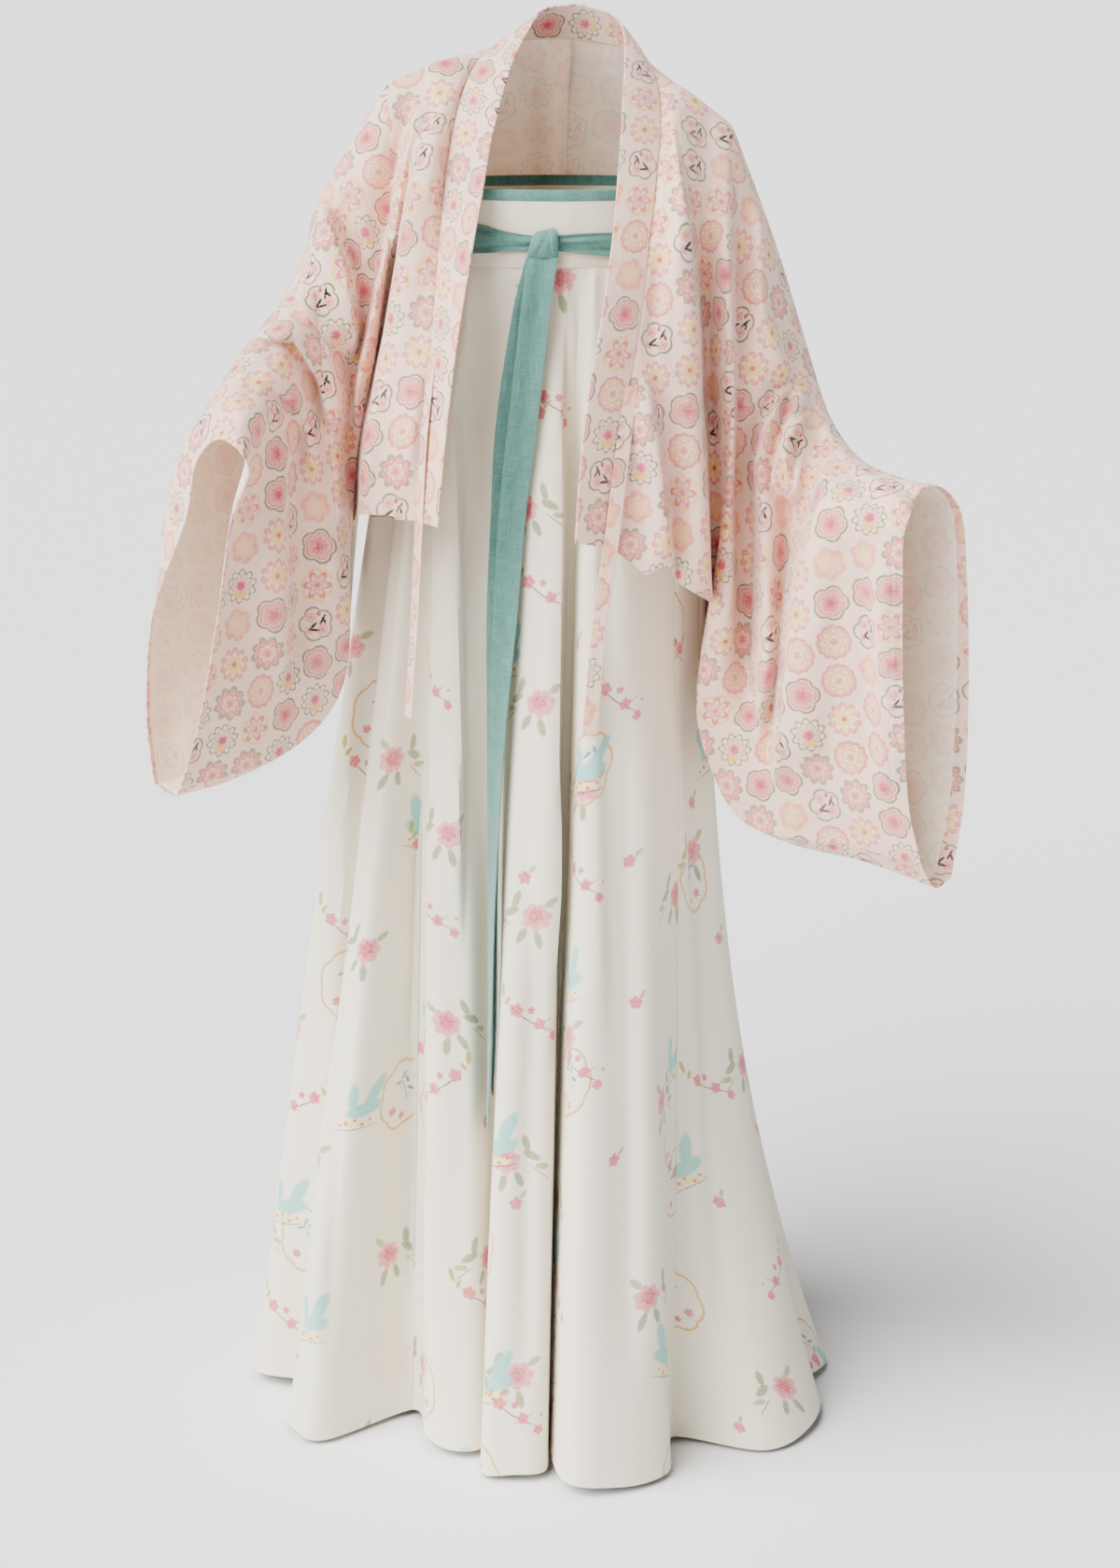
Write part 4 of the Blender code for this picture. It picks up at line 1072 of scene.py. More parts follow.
def make_sleeve(side, printed, reverse, thread):
    """One wide sleeve, from the armhole to its open, turned cuff."""
    shares = np.concatenate(
        [[0.0, 0.004, 0.009, 0.016], np.linspace(0.03, CUFF_FACING, 118), [0.966, 0.968, 0.985, 0.996, 1.0]]
    )
    rows = np.concatenate([np.linspace(0, TURN_ROW, 112), np.linspace(TURN_ROW, PATH_ROWS, 78),
                           np.linspace(PATH_ROWS, PATH_ROWS + UNDER_ROWS, 18)[1:]])
    grid = sleeve_grid(side, shares, rows)
    grid[:, -1] = grid[:, 0]
    out = outward(grid)
    centre = grid.mean(axis=1, keepdims=True)
    if (out * (grid - centre)).sum() < 0:
        grid, shares = grid[::-1], shares[::-1]
        out = outward(grid)
    out[:, 0] = out[:, -1] = (out[:, 0] + out[:, -1]) / 2
    seam = -0.0009 * np.exp(-((shares / 0.008) ** 2)) + 0.0006 * (shares > CUFF_FACING)
    grid = grid + out * seam[:, None, None]
    turned_in = shares > CUFF_FACING
    weave = hanging_grain(grid, rows)
    piece = cloth_piece(f"sleeve_{side}_cloth", grid, weave, printed, reverse, facing_columns=turned_in)
    stand_for(piece, f"sleeve_{side}")
    column = int(np.argmin(np.abs(shares - CUFF_FACING - 0.003)))
    hemming = sew(f"sleeve_{side}_cuff_stitches", grid[column], out[column], thread)
    return piece, [hemming]


def make_collar(printed, thread):
    """The collar band, one folded strip from hem to hem round the neck."""
    half = FRONT_ROWS + NECK_ROWS
    rows = np.linspace(0, half, 150)
    sides = {}
    for side in ("left", "right"):
        stops = np.concatenate([np.linspace(0, FRONT_ROWS, 8), np.linspace(FRONT_ROWS, half, 3)[1:]])
        at = np.interp(rows, stops, np.linspace(0, 1, len(stops)))
        seam = spread(np.concatenate([cut(COLLAR_SEAM[side]), cut(NECK_SEAM[side])[1:]]), at)
        edge = spread(np.concatenate([cut(COLLAR_EDGE[side]), cut(NECK_EDGE[side])[1:]]), at)
        sides[side] = (seam, edge)
    seam = np.concatenate([sides["left"][0], sides["right"][0][::-1][1:]])
    edge = np.concatenate([sides["left"][1], sides["right"][1][::-1][1:]])
    smooth = np.arange(len(seam))
    near_back = np.exp(-(((smooth - len(rows)) / 6.0) ** 2))[:, None]
    for line in (seam, edge):
        soft = (np.roll(line, 3, axis=0) + np.roll(line, -3, axis=0) + line) / 3
        line += (soft - line) * near_back
    across = np.linspace(0.02, 1.0, 15)[:, None, None]
    grid = seam[None] + (edge - seam)[None] * across
    if outward(grid)[:, :60, 1].mean() > 0:
        grid, across = grid[::-1], across[::-1]
    out = outward(grid)
    puff = 0.0012 * np.sin(across * math.pi) + 0.0006 * np.sin(smooth * 0.11)[None, :, None] * across
    grid = grid + out * puff
    weave = straight_grain(grid, down=COLLAR_PRINT_START)
    collar = cloth_piece("collar_band_cloth", grid, weave, printed, None, DOUBLE_CLOTH, FOLDED_EDGE)
    stand_for(collar, "collar_band")
    column = int(np.argmin(np.abs(across[:, 0, 0] - 0.09)))
    line, line_out = grid[column], out[column]
    seam = sew("collar_band_stitches", line, line_out, thread, DOUBLE_CLOTH / 2)
    return collar, [seam]


def make_tie(side, printed):
    """One flat tie, sewn in at the collar's seam."""
    grid, _, down = strip_grid(TIES[side], 7, 90)
    grid[..., 1] -= 0.0012 * np.sin(down * 11) * down
    grid = faced_front(grid)
    weave = straight_grain(grid, down=TIE_PRINT_START)
    tie = cloth_piece(f"tie_{side}_cloth", grid, weave, printed, None, TIE_CLOTH, TIE_EDGE)
    return stand_for(tie, f"tie_{side}")


class Finish:
    """One cloth's material: adds nodes to it and joins them."""

    def __init__(self, name, roughness=0.85, sheen=0.25, sheer=0.20, through=0.0012):
        self.cloth = bpy.data.materials.new(name)
        self.cloth.use_nodes = True
        self.nodes = self.cloth.node_tree.nodes
        self.links = self.cloth.node_tree.links
        self.shader = self.nodes["Principled BSDF"]
        self.shader.inputs["Roughness"].default_value = roughness
        self.shader.inputs["Sheen Weight"].default_value = sheen
        self.shader.inputs["Sheen Roughness"].default_value = 0.45
        self.shader.inputs["Specular IOR Level"].default_value = 0.2
        self.shader.inputs["Subsurface Weight"].default_value = sheer
        self.shader.inputs["Subsurface Radius"].default_value = (1.0, 0.6, 0.5)
        self.shader.inputs["Subsurface Scale"].default_value = through
        self.weave = self.node("ShaderNodeUVMap", uv_map="weave").outputs["UV"]

    def node(self, kind, **values):
        made = self.nodes.new(kind)
        for name, value in values.items():
            setattr(made, name, value)
        return made

    def put(self, node, inputs):
        for place, value in inputs.items():
            if isinstance(value, bpy.types.NodeSocket):
                self.links.new(value, node.inputs[place])
            else:
                node.inputs[place].default_value = value
        return node

    def sum(self, operation, first, second=0.0, third=0.0):
        node = self.node("ShaderNodeMath", operation=operation)
        return self.put(node, {0: first, 1: second, 2: third}).outputs[0]

    def vector(self, operation, first, second=(0.0, 0.0, 0.0)):
        return self.put(self.node("ShaderNodeVectorMath", operation=operation), {0: first, 1: second})

    def point(self, x, y, z=0.0):
        return self.put(self.node("ShaderNodeCombineXYZ"), {0: x, 1: y, 2: z}).outputs[0]

    def parts(self, vector):
        node = self.put(self.node("ShaderNodeSeparateXYZ"), {0: vector})
        return node.outputs[0], node.outputs[1]

    def mix(self, share, under, over):
        node = self.node("ShaderNodeMix", data_type="RGBA")
        return self.put(node, {0: share, 6: under, 7: over}).outputs[2]

    def ramp(self, value, start, end, low=0.0, high=1.0):
        node = self.node("ShaderNodeMapRange", interpolation_type="SMOOTHSTEP")
        return self.put(node, {0: value, 1: start, 2: end, 3: low, 4: high}).outputs[0]

    def noise(self, vector, scale, detail=3.0, roughness=0.5):
        node = self.node("ShaderNodeTexNoise")
        values = {"Vector": vector, "Scale": scale, "Detail": detail, "Roughness": roughness}
        return self.put(node, values).outputs[0]

    def chance(self, x, y, seed):
        node = self.node("ShaderNodeTexWhiteNoise")
        self.put(node, {"Vector": self.point(x, y, seed)})
        return node.outputs["Value"], node.outputs["Color"]

    def moved(self, vector, centre, size, turn=0.0):
        """The vector counted from a motif's centre, in its sizes and along its turn."""
        node = self.node("ShaderNodeMapping", vector_type="TEXTURE")
        sizes = (size[0], size[1], 1.0)
        return self.put(
            node, {0: vector, 1: (*centre, 0.0), 2: (0.0, 0.0, math.radians(turn)), 3: sizes}
        ).outputs[0]

    def reach(self, vector):
        return self.vector("LENGTH", vector).outputs["Value"]

    def petals(self, vector, count, depth, round_by=0.8):
        """How far out a place lies, where 1 is the edge of a flower with this many petals."""
        x, y = self.parts(vector)
        angle = self.sum("ARCTAN2", y, x)
        lobe = self.sum("ABSOLUTE", self.sum("COSINE", self.sum("MULTIPLY", angle, count / 2.0)))
        lobe = self.sum("POWER", lobe, round_by)
        edge = self.sum("MULTIPLY_ADD", lobe, depth, 1.0 - depth)
        return self.sum("DIVIDE", self.reach(vector), edge)

    def inside(self, reach, limit=1.0, edge=0.12):
        return self.ramp(reach, limit - edge, limit, 1.0, 0.0)

    def line(self, reach, at, half):
        return self.ramp(self.sum("ABSOLUTE", self.sum("SUBTRACT", reach, at)), half * 0.4, half, 1.0, 0.0)

    def times(self, *shares):
        made = shares[0]
        for share in shares[1:]:
            made = self.sum("MULTIPLY", made, share)
        return made

    def finish(self, colour, relief, depth, strength=1.0):
        self.links.new(colour, self.shader.inputs["Base Color"])
        bump = self.node("ShaderNodeBump")
        self.put(bump, {"Height": relief, "Distance": depth, "Strength": strength})
        self.links.new(bump.outputs[0], self.shader.inputs["Normal"])
        return self.cloth


RICHER = 1.45


def rgb(red, green, blue):
    """A colour as seen on the cloth, 0 to 255, in the shader's scale and made richer for bright light."""
    plain = [(value / 255.0) ** 2.2 for value in (red, green, blue)]
    grey = sum(plain) / 3.0
    return tuple(min(max(grey + (value - grey) * RICHER, 0.0), 0.97) for value in plain) + (1.0,)


def plain_weave(cloth, threads, streak=0.35):
    """The relief of a plain weave with slubs: this many threads to the metre."""
    x, y = cloth.parts(cloth.weave)
    over = cloth.sum("SINE", cloth.sum("MULTIPLY", x, threads * math.pi))
    under = cloth.sum("SINE", cloth.sum("MULTIPLY", y, threads * math.pi))
    checks = cloth.sum("MULTIPLY", over, under)
    warp = cloth.noise(cloth.point(cloth.sum("MULTIPLY", x, 14.0), y), 55.0)
    weft = cloth.noise(cloth.point(x, cloth.sum("MULTIPLY", y, 12.0)), 75.0)
    slubs = cloth.sum("ADD", warp, weft)
    return cloth.sum("MULTIPLY_ADD", slubs, streak, cloth.sum("MULTIPLY", checks, 0.3)), slubs


PITCH = (0.0350, 0.0368)
MEDALLION = 0.0170


def flower_medallions(name, faded):
    """Pale pink cotton printed with round flower medallions; the reverse shows the print faded."""
    cloth = Finish(name, 0.85, 0.3, *((0.60, 0.006) if faded else ()))
    u, v = cloth.parts(cloth.weave)
    across = cloth.sum("DIVIDE", u, PITCH[0])
    column = cloth.sum("FLOOR", across)
    down = cloth.sum("MULTIPLY_ADD", column, 0.27, cloth.sum("DIVIDE", v, PITCH[1]))
    row = cloth.sum("FLOOR", down)
    x = cloth.sum("SUBTRACT", cloth.sum("SUBTRACT", across, column), 0.5)
    y = cloth.sum("SUBTRACT", cloth.sum("SUBTRACT", down, row), 0.5)
    x = cloth.sum("MULTIPLY", x, PITCH[0] / MEDALLION)
    y = cloth.sum("MULTIPLY", y, PITCH[1] / MEDALLION)
    pick = cloth.chance(column, row, 3.0)[0]
    wobble = cloth.noise(cloth.weave, 260.0, 2.0)
    wobble = cloth.sum("MULTIPLY_ADD", wobble, 0.06, -0.03)
    place = cloth.point(cloth.sum("ADD", x, wobble), cloth.sum("ADD", y, wobble))
    kind = cloth.sum("FLOOR", cloth.sum("MULTIPLY", pick, 7.999))

    def only(number):
        node = cloth.node("ShaderNodeMath", operation="COMPARE")
        return cloth.put(node, {0: kind, 1: float(number), 2: 0.4}).outputs[0]

    five = cloth.petals(place, 5, 0.20)
    six = cloth.petals(cloth.moved(place, (0, 0), (1, 1), 15), 6, 0.20)
    eight = cloth.petals(place, 8, 0.42, 1.4)
    ten = cloth.petals(cloth.moved(place, (0, 0), (1, 1), 18), 10, 0.30)
    twelve = cloth.petals(place, 12, 0.10)
    small_five = cloth.petals(cloth.moved(place, (0, 0), (0.42, 0.42), 20), 5, 0.22)
    ground = rgb(224, 199, 187)
    pink, soft, deep = rgb(190, 124, 124), rgb(206, 156, 150), rgb(160, 66, 82)
    yellow, sage, green = rgb(212, 180, 120), rgb(96, 102, 78), rgb(70, 100, 68)
    salmon, magenta, dark = rgb(206, 138, 120), rgb(164, 52, 92), rgb(9, 8, 10)
    cream = rgb(230, 211, 184)
    colour = ground

    def paint(over, strength, *masks):
        nonlocal colour
        colour = cloth.mix(cloth.times(*masks, strength), colour, over)

    # A plum flower inside a broad scalloped outline.
    plum = only(0)
    paint(sage, 0.90, plum, cloth.line(five, 0.94, 0.100))
    paint(soft, 0.9, plum, cloth.inside(five, 0.80, 0.06))
    paint(pink, 0.8, plum, cloth.line(five, 0.74, 0.08))
    paint(pink, 0.8, plum, cloth.inside(five, 0.66, 0.40))
    paint(deep, 0.7, plum, cloth.inside(small_five, 0.85, 0.6))
    veins = cloth.line(cloth.petals(place, 10, 0.6, 2.0), 0.46, 0.06)
    paint(deep, 0.6, plum, veins, cloth.inside(five, 0.6, 0.1))
    # A rosette: a scalloped pink ring, yellow petals and a pink middle.
    rosette = only(1)
    paint(pink, 0.9, rosette, cloth.line(twelve, 0.90, 0.13))
    paint(soft, 0.8, rosette, cloth.inside(twelve, 0.82, 0.08))
    paint(cream, 0.9, rosette, cloth.inside(eight, 0.78, 0.08))
    paint(yellow, 0.9, rosette, cloth.line(eight, 0.72, 0.08))
    paint(pink, 0.8, rosette, cloth.line(eight, 0.48, 0.08))
    paint(deep, 0.6, rosette, cloth.inside(small_five, 0.70, 0.3))
    # Scrollwork round a magenta flower, yellow below.
    scroll = only(2)
    paint(green, 0.85, scroll, cloth.line(ten, 0.94, 0.075))
    paint(green, 0.8, scroll, cloth.line(cloth.petals(place, 10, 0.45, 1.2), 0.76, 0.070))
    paint(green, 0.5, scroll, cloth.line(ten, 0.60, 0.050))
    lower = cloth.moved(place, (0.0, 0.50), (0.44, 0.28))
    paint(yellow, 0.95, scroll, cloth.inside(cloth.reach(lower), 1.0, 0.5))
    paint(soft, 0.9, scroll, cloth.inside(cloth.petals(place, 8, 0.3), 0.50, 0.12))
    paint(magenta, 0.8, scroll, cloth.inside(small_five, 0.80, 0.35))
    # Pale blossoms and dark twigs inside one outline.
    twig = only(3)
    turned_five = cloth.petals(cloth.moved(place, (0, 0), (1, 1), 36), 5, 0.20)
    paint(sage, 0.9, twig, cloth.line(turned_five, 0.94, 0.090))
    for at, size, turn in (((-0.28, -0.36), 0.36, 10), ((0.34, 0.30), 0.38, 50), ((-0.40, 0.34), 0.26, 0)):
        bloom = cloth.petals(cloth.moved(place, at, (size, size), turn), 5, 0.24)
        paint(soft, 0.95, twig, cloth.inside(bloom, 1.0, 0.25))
        paint(deep, 0.5, twig, cloth.inside(bloom, 0.40, 0.3))
    for at, size, turn in (
        ((-0.16, 0.10), (0.36, 0.095), -42), ((-0.10, 0.33), (0.38, 0.095), 8),
        ((0.36, -0.26), (0.40, 0.095), 118), ((0.48, -0.12), (0.24, 0.085), 66),
    ):
        paint(dark, 1.0, twig, cloth.inside(cloth.reach(cloth.moved(place, at, size, turn)), 1.0, 0.30))
    bud = cloth.reach(cloth.moved(place, (0.14, -0.58), (0.13, 0.16), 20))
    paint(deep, 0.9, twig, cloth.inside(bud, 1.0, 0.2))
    # A salmon flower with a paler middle and fine petals drawn in it.
    plain = only(4)
    paint(salmon, 0.70, plain, cloth.inside(six, 0.96, 0.06))
    paint(cream, 0.60, plain, cloth.inside(six, 0.82, 0.40))
    paint(salmon, 0.75, plain, cloth.line(cloth.petals(place, 6, 0.7, 1.6), 0.66, 0.08))
    paint(yellow, 0.7, plain, cloth.line(cloth.petals(place, 12, 0.5), 0.42, 0.06))
    # Six magenta petals in a yellow outline.
    star = only(5)
    paint(yellow, 0.75, star, cloth.line(six, 0.90, 0.14))
    petal = cloth.petals(place, 6, 0.50, 1.2)
    paint(soft, 0.9, star, cloth.inside(petal, 0.80, 0.10))
    paint(magenta, 0.65, star, cloth.line(petal, 0.74, 0.13))
    paint(cream, 0.7, star, cloth.line(petal, 0.46, 0.07))
    paint(magenta, 0.6, star, cloth.inside(cloth.reach(place), 0.20, 0.12))
    # A lacy pink rosette with sage leaves behind.
    lace = only(6)
    paint(sage, 0.75, lace, cloth.line(cloth.petals(place, 9, 0.28, 0.9), 0.90, 0.16))
    paint(soft, 0.9, lace, cloth.inside(twelve, 0.80, 0.10))
    paint(pink, 0.8, lace, cloth.line(twelve, 0.74, 0.06))
    paint(pink, 0.9, lace, cloth.line(cloth.petals(place, 7, 0.36), 0.60, 0.08))
    paint(cream, 0.8, lace, cloth.line(cloth.petals(place, 7, 0.36), 0.42, 0.08))
    paint(deep, 0.5, lace, cloth.inside(small_five, 0.62, 0.4))
    # A dusty pink disc with a yellow daisy and one pink dot.
    daisy = only(7)
    paint(soft, 0.95, daisy, cloth.inside(ten, 0.98, 0.06))
    paint(pink, 0.7, daisy, cloth.line(ten, 0.90, 0.08))
    paint(cream, 0.95, daisy, cloth.inside(eight, 0.80, 0.08))
    paint(yellow, 0.7, daisy, cloth.inside(eight, 0.70, 0.30))
    paint(pink, 0.6, daisy, cloth.line(eight, 0.78, 0.05))
    paint(deep, 0.8, daisy, cloth.inside(cloth.reach(place), 0.20, 0.10))
    # Slightly thin ink and a faint mottle.
    relief, slubs = plain_weave(cloth, 1600.0)
    mottle = cloth.noise(cloth.weave, 14.0, 3.0)
    colour = cloth.mix(cloth.ramp(mottle, 0.3, 0.75, 0.0, 0.16), colour, rgb(234, 196, 186))
    colour = cloth.mix(cloth.ramp(slubs, 1.02, 1.35, 0.0, 0.42), colour, rgb(246, 232, 224))
    if faded:
        colour = cloth.mix(0.66, colour, rgb(244, 230, 218))
    return cloth.finish(colour, relief, 0.0004, 0.35)


def botanical_print(name, faded):
    """Ivory crepe with scattered sprays: peonies with leaves, thin rings, pale leaves with berries."""
    cloth = Finish(name, 0.8, 0.2, *((0.60, 0.006) if faded else ()))
    u, v = cloth.parts(cloth.weave)
    ivory = rgb(226, 220, 206)
    colour = ivory
    edge_wobble = cloth.noise(cloth.weave, 220.0, 2.0)
    edge_wobble = cloth.sum("MULTIPLY_ADD", edge_wobble, 0.0022, -0.0011)

    def paint(over, strength, *masks):
        nonlocal colour
        colour = cloth.mix(cloth.times(*masks, strength), colour, over)

    def scatter(pitch, seed, offset, keep):
        """A lattice of motifs: a place in metres from each motif's centre, and whether one is there."""
        across = cloth.sum("ADD", cloth.sum("DIVIDE", u, pitch[0]), offset)
        column = cloth.sum("FLOOR", across)
        down = cloth.sum("MULTIPLY_ADD", column, 0.41, cloth.sum("DIVIDE", v, pitch[1]))
        row = cloth.sum("FLOOR", down)
        pick, more = cloth.chance(column, row, seed)
        first, second = cloth.parts(more)
        middle_x, middle_y = cloth.ramp(first, 0, 1, 0.40, 0.60), cloth.ramp(second, 0, 1, 0.40, 0.60)
        x = cloth.sum("SUBTRACT", cloth.sum("SUBTRACT", across, column), middle_x)
        y = cloth.sum("SUBTRACT", cloth.sum("SUBTRACT", down, row), middle_y)
        x = cloth.sum("MULTIPLY_ADD", x, pitch[0], edge_wobble)
        y = cloth.sum("MULTIPLY_ADD", y, -pitch[1], edge_wobble)
        side = cloth.sum("SIGN", cloth.sum("SUBTRACT", first, 0.5))
        shown = cloth.sum("LESS_THAN", pick, keep)
        return cloth.point(cloth.sum("MULTIPLY", x, side), y), shown

    pink, blush, rose = rgb(194, 116, 124), rgb(214, 168, 168), rgb(150, 38, 62)
    leaf, pale_leaf, twig = rgb(118, 126, 96), rgb(150, 152, 118), rgb(96, 70, 58)
    aqua, blue, orange = rgb(140, 186, 178), rgb(50, 92, 118), rgb(204, 86, 30)
    tan, olive = rgb(192, 154, 106), rgb(152, 140, 66)
    strokes = cloth.noise(cloth.weave, 420.0, 3.0, 0.7)

    def leaves(place, shown, ink, strength, table):
        for at, size, turn in table:
            reach = cloth.reach(cloth.moved(place, at, size, turn))
            paint(ink, strength, shown, cloth.inside(reach, 1.0, 0.35))

    def blossom(place, shown, at, size, turn, strength=1.0):
        reach = cloth.petals(cloth.moved(place, at, (size, size), turn), 5, 0.30)
        paint(pink, 0.9 * strength, shown, cloth.inside(reach, 1.0, 0.25))
        paint(rose, 0.8 * strength, shown, cloth.inside(reach, 0.95, 0.5), cloth.ramp(strokes, 0.52, 0.62))

    # Peony sprays.
    place, shown = scatter((0.150, 0.205), 21.0, 0.15, 0.78)
    leaves(place, shown, leaf, 0.85, (
        ((-0.022, 0.004), (0.011, 0.0045), 25), ((-0.016, 0.016), (0.010, 0.0042), 70),
        ((0.006, -0.022), (0.011, 0.0045), -75), ((-0.010, -0.018), (0.010, 0.0042), 60),
    ))
    leaves(place, shown, pale_leaf, 0.9, (
        ((0.018, 0.014), (0.009, 0.004), 35), ((-0.032, -0.006), (0.008, 0.0035), 5),
    ))
    leaves(place, shown, twig, 0.8, (((-0.030, -0.012), (0.016, 0.0007), 35),))
    outer = cloth.petals(cloth.moved(place, (0.004, 0.0), (0.0165, 0.0150), 10), 7, 0.22)
    inner = cloth.petals(cloth.moved(place, (0.003, 0.001), (0.0100, 0.0090), 40), 6, 0.30)
    paint(blush, 1.0, shown, cloth.inside(outer, 1.0, 0.18))
    paint(pink, 0.9, shown, cloth.inside(outer, 0.98, 0.3), cloth.ramp(strokes, 0.42, 0.60))
    paint(pink, 0.9, shown, cloth.inside(inner, 1.0, 0.3))
    paint(rose, 0.9, shown, cloth.inside(inner, 1.0, 0.4), cloth.ramp(strokes, 0.50, 0.62))

    # Thin wavy rings with a blue sprig and two small blossoms.
    place, shown = scatter((0.205, 0.265), 5.0, 0.55, 0.72)
    ring = cloth.petals(cloth.moved(place, (0.0, 0.0), (0.029, 0.036), 8), 7, 0.09)
    paint(tan, 0.95, shown, cloth.line(ring, 0.96, 0.055))
    leaves(place, shown, blue, 0.8, (
        ((-0.002, 0.018), (0.0055, 0.0020), 60), ((0.004, 0.013), (0.0055, 0.0020), -50),
        ((-0.007, 0.011), (0.0048, 0.0018), 10), ((0.010, 0.004), (0.0050, 0.0020), -20),
    ))
    leaves(place, shown, rgb(206, 212, 224), 0.9, (
        ((0.010, -0.004), (0.0065, 0.0055), 0), ((-0.001, 0.006), (0.0055, 0.0045), 0),
    ))
    leaves(place, shown, twig, 0.8, (((0.003, 0.004), (0.017, 0.0006), -58),))
    blossom(place, shown, (-0.008, -0.017), 0.0055, 10)
    blossom(place, shown, (0.006, -0.022), 0.0045, 50)

    # Pale aqua leaves with orange berries on a slender stem.
    place, shown = scatter((0.180, 0.230), 33.0, 0.85, 0.62)
    leaves(place, shown, aqua, 0.95, (
        ((0.000, 0.002), (0.024, 0.0090), 18), ((0.008, 0.020), (0.021, 0.0080), 62),
        ((-0.016, 0.014), (0.015, 0.0065), 100),
    ))
    leaves(place, shown, rgb(160, 196, 190), 0.6, (
        ((0.000, 0.002), (0.023, 0.0006), 18), ((0.008, 0.020), (0.020, 0.0006), 62),
    ))
    leaves(place, shown, rgb(222, 214, 170), 0.9, (((-0.004, -0.012), (0.022, 0.0050), 6),))
    leaves(place, shown, orange, 0.9, (
        ((-0.016, -0.013), (0.0028, 0.0024), 0), ((-0.008, -0.009), (0.0022, 0.0020), 0),
        ((0.001, -0.013), (0.0026, 0.0022), 0), ((0.009, -0.008), (0.0020, 0.0018), 0),
        ((-0.023, -0.017), (0.0020, 0.0016), 0),
    ))
    leaves(place, shown, twig, 0.9, (((-0.006, -0.018), (0.030, 0.0006), 12),))

    # Slender branches with small blossoms and a yellow-green bud.
    place, shown = scatter((0.165, 0.190), 47.0, 0.35, 0.70)
    bowed = cloth.parts(place)
    bow = cloth.sum("MULTIPLY_ADD", cloth.sum("MULTIPLY", bowed[0], bowed[0]), -9.0, bowed[1])
    branch = cloth.point(bowed[0], bow)
    leaves(branch, shown, twig, 0.9, (
        ((0.0, 0.0), (0.034, 0.0008), -32), ((0.012, -0.004), (0.014, 0.0006), 20),
    ))
    for at, size, turn in (
        ((-0.013, 0.011), 0.0078, 0), ((0.010, -0.003), 0.0068, 30), ((0.025, -0.014), 0.0060, 60),
        ((0.002, 0.010), 0.0042, 15),
    ):
        blossom(place, shown, at, size, turn)
    leaves(place, shown, olive, 0.9, (
        ((-0.028, 0.029), (0.0080, 0.0030), 100), ((-0.022, 0.020), (0.0060, 0.0022), 60),
    ))
    leaves(place, shown, orange, 0.8, (((0.028, 0.000), (0.0022, 0.0018), 0),))

    # Single small blossoms.
    place, shown = scatter((0.120, 0.150), 61.0, 0.70, 0.42)
    blossom(place, shown, (0.0, 0.0), 0.0075, 20)
    leaves(place, shown, pale_leaf, 0.9, (((0.007, 0.008), (0.0060, 0.0024), 50),))

    relief, slubs = plain_weave(cloth, 1500.0, 0.5)
    mottle = cloth.noise(cloth.weave, 9.0, 3.0)
    colour = cloth.mix(cloth.ramp(mottle, 0.3, 0.75, 0.0, 0.12), colour, rgb(218, 210, 196))
    colour = cloth.mix(cloth.ramp(slubs, 0.85, 1.3, 0.0, 0.16), colour, rgb(240, 236, 226))
    if faded:
        colour = cloth.mix(0.75, colour, rgb(214, 204, 190))
    return cloth.finish(colour, relief, 0.0004, 0.35)


def plain_ivory(name):
    """The plain ivory crepe of the chest band."""
    cloth = Finish(name, 0.8, 0.2)
    relief, slubs = plain_weave(cloth, 1500.0, 0.5)
    mottle = cloth.noise(cloth.weave, 30.0, 3.0)
    colour = cloth.mix(cloth.ramp(mottle, 0.3, 0.7), rgb(226, 220, 206), rgb(216, 208, 192))
    return cloth.finish(colour, relief, 0.0004, 0.35)


def green_linen(name):
    """The muted green plain weave of the sash, with slubs and lighter threads."""
    cloth = Finish(name, 0.75, 0.35)
    relief, slubs = plain_weave(cloth, 900.0, 0.8)
    mottle = cloth.noise(cloth.weave, 40.0, 3.0)
    colour = cloth.mix(cloth.ramp(slubs, 0.75, 1.25), rgb(82, 111, 105), rgb(104, 133, 126))
    colour = cloth.mix(cloth.ramp(mottle, 0.35, 0.75, 0.0, 0.35), colour, rgb(74, 103, 97))
    return cloth.finish(colour, relief, 0.0006, 0.5)


def plain_thread(name, colour):
    """Sewing thread, a shade lighter than its cloth."""
    thread = bpy.data.materials.new(name)
    thread.use_nodes = True
    shader = thread.node_tree.nodes["Principled BSDF"]
    shader.inputs["Base Color"].default_value = colour
    shader.inputs["Roughness"].default_value = 0.6
    return thread


FLOOR_SIZE = 600.0
FLOOR_COLOUR = (0.90, 0.905, 0.91, 1.0)
AIR_COLOUR = (0.98, 0.99, 1.0, 1.0)
AIR_STRENGTH = 0.20
# Each light: where it comes from, how wide it is in degrees, and its power.
LIGHTS = {
    "soft_window": ((-1.45, -0.95, 1.62), 62.0, 10.8),
    "soft_fill": ((1.2, -1.2, 0.5), 60.0, 0.4),
}
CAMERA_PLACE = (0.0, -3.0, 0.10)
CAMERA_PITCH = 14.7
LENS = 72.15


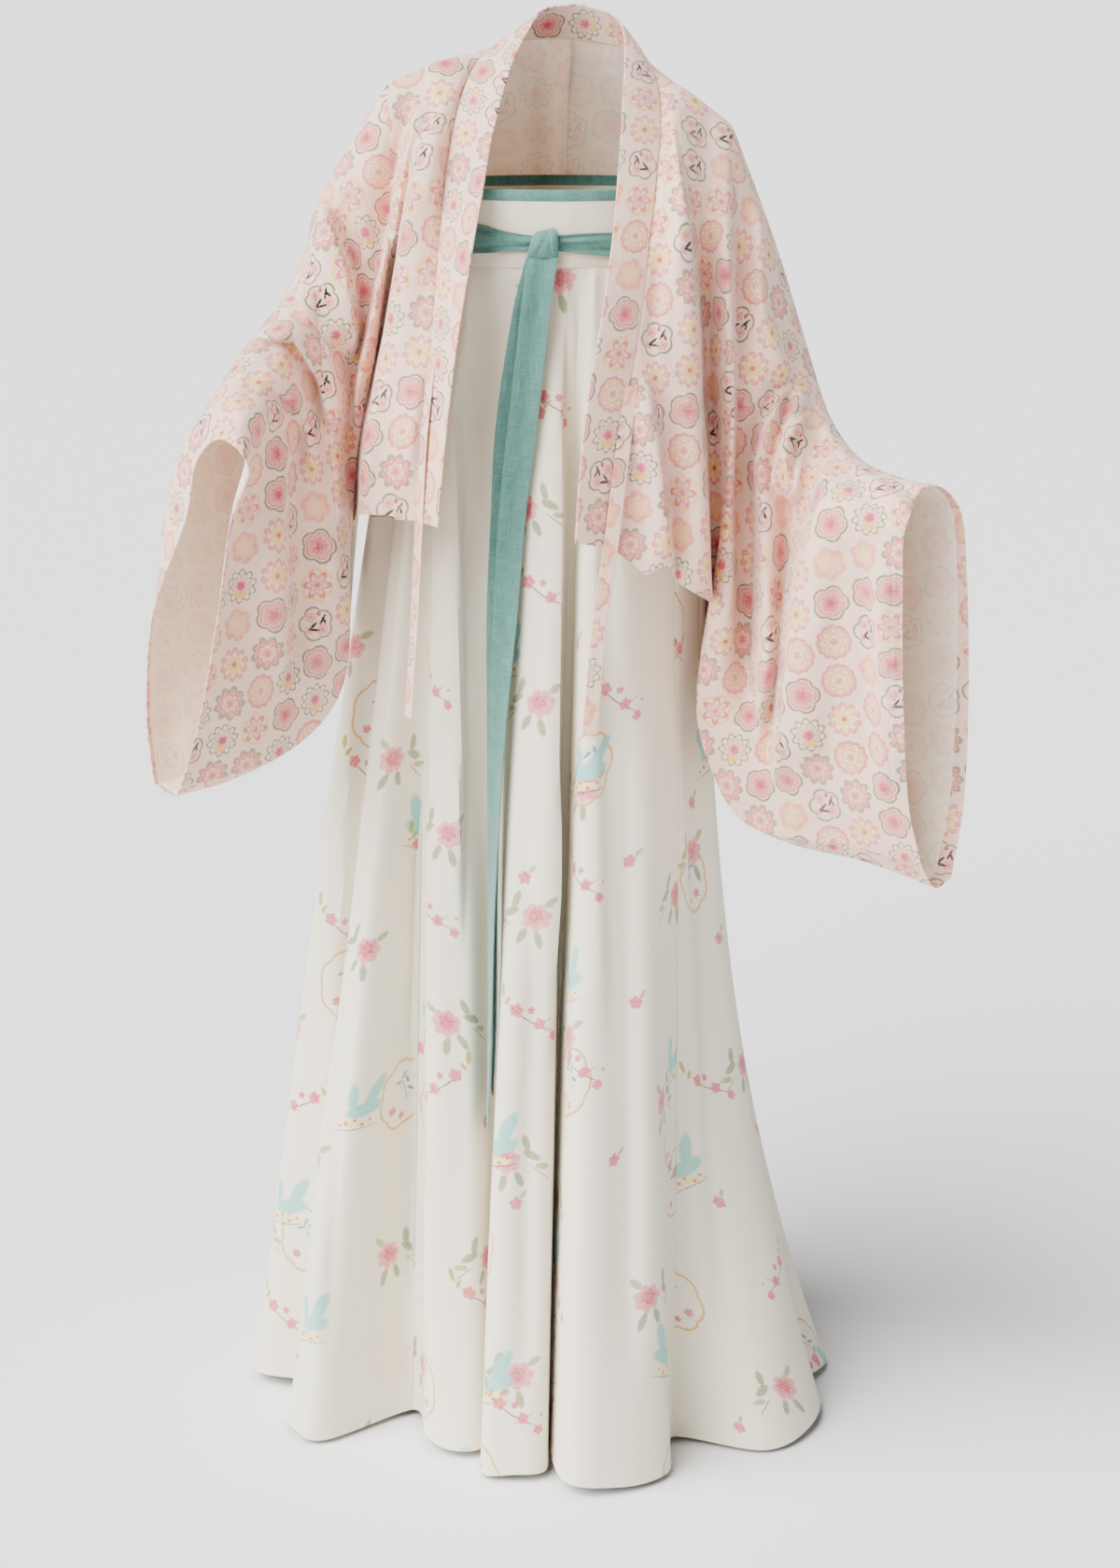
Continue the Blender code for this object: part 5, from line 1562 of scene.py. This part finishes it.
def make_studio():
    """A plain pale floor, soft light and the camera."""
    below = (0, 4.0, -HELD_HEIGHT)
    bpy.ops.mesh.primitive_grid_add(x_subdivisions=8, y_subdivisions=8, size=FLOOR_SIZE, location=below)
    floor = bpy.context.object
    floor.name = "studio_floor"
    paint = bpy.data.materials.new("studio_grey")
    paint.use_nodes = True
    paint.node_tree.nodes["Principled BSDF"].inputs["Base Color"].default_value = FLOOR_COLOUR
    paint.node_tree.nodes["Principled BSDF"].inputs["Roughness"].default_value = 0.9
    floor.data.materials.append(paint)
    world = bpy.data.worlds.new("studio_air")
    bpy.context.scene.world = world
    world.use_nodes = True
    world.node_tree.nodes["Background"].inputs["Color"].default_value = AIR_COLOUR
    world.node_tree.nodes["Background"].inputs["Strength"].default_value = AIR_STRENGTH
    for name, (lit_from, wide, power) in LIGHTS.items():
        lamp = bpy.data.lights.new(name, "SUN")
        lamp.energy = power
        lamp.angle = math.radians(wide)
        light = bpy.data.objects.new(name, lamp)
        light.location = lit_from
        light.rotation_euler = (-Vector(lit_from)).to_track_quat("-Z", "Y").to_euler()
        bpy.context.scene.collection.objects.link(light)
    lens = bpy.data.cameras.new("camera")
    lens.sensor_width = 36.0
    lens.lens = LENS
    camera = bpy.data.objects.new("camera", lens)
    camera.location = CAMERA_PLACE
    camera.rotation_euler = (math.radians(90.0 - CAMERA_PITCH), 0.0, 0.0)
    bpy.context.scene.collection.objects.link(camera)
    bpy.context.scene.camera = camera


make_studio()
printed = flower_medallions("printed_cotton", False)
printed_reverse = flower_medallions("printed_cotton_reverse", True)
ivory_print = botanical_print("ivory_crepe_print", False)
ivory_reverse = botanical_print("ivory_crepe_reverse", True)
ivory = plain_ivory("ivory_crepe_plain")
green = green_linen("green_linen")

ivory_thread = plain_thread("ivory_thread", rgb(222, 215, 200))
pink_thread = plain_thread("pink_thread", rgb(230, 204, 194))

# The fields of a record of what a cloth was cut to: width and length, the cut's area, how it is held and
# what holds it.
Cut = namedtuple("Cut", "width length area held rests_on")
SIDES = ("left", "right")


gores = make_skirt(ivory_print, ivory_reverse, ivory_thread)
band, binding, band_seams = make_band(ivory, green, ivory_thread)
wrap, knot, tails = make_sash(green)
for side in SIDES:
    for kind, (cloth, sewn) in (
        ("body", make_body(side, printed, printed_reverse, pink_thread)),
        ("sleeve", make_sleeve(side, printed, printed_reverse, pink_thread)),
    ):
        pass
collar, collar_seam = make_collar(printed, pink_thread)
for side in SIDES:
    make_tie(side, printed)
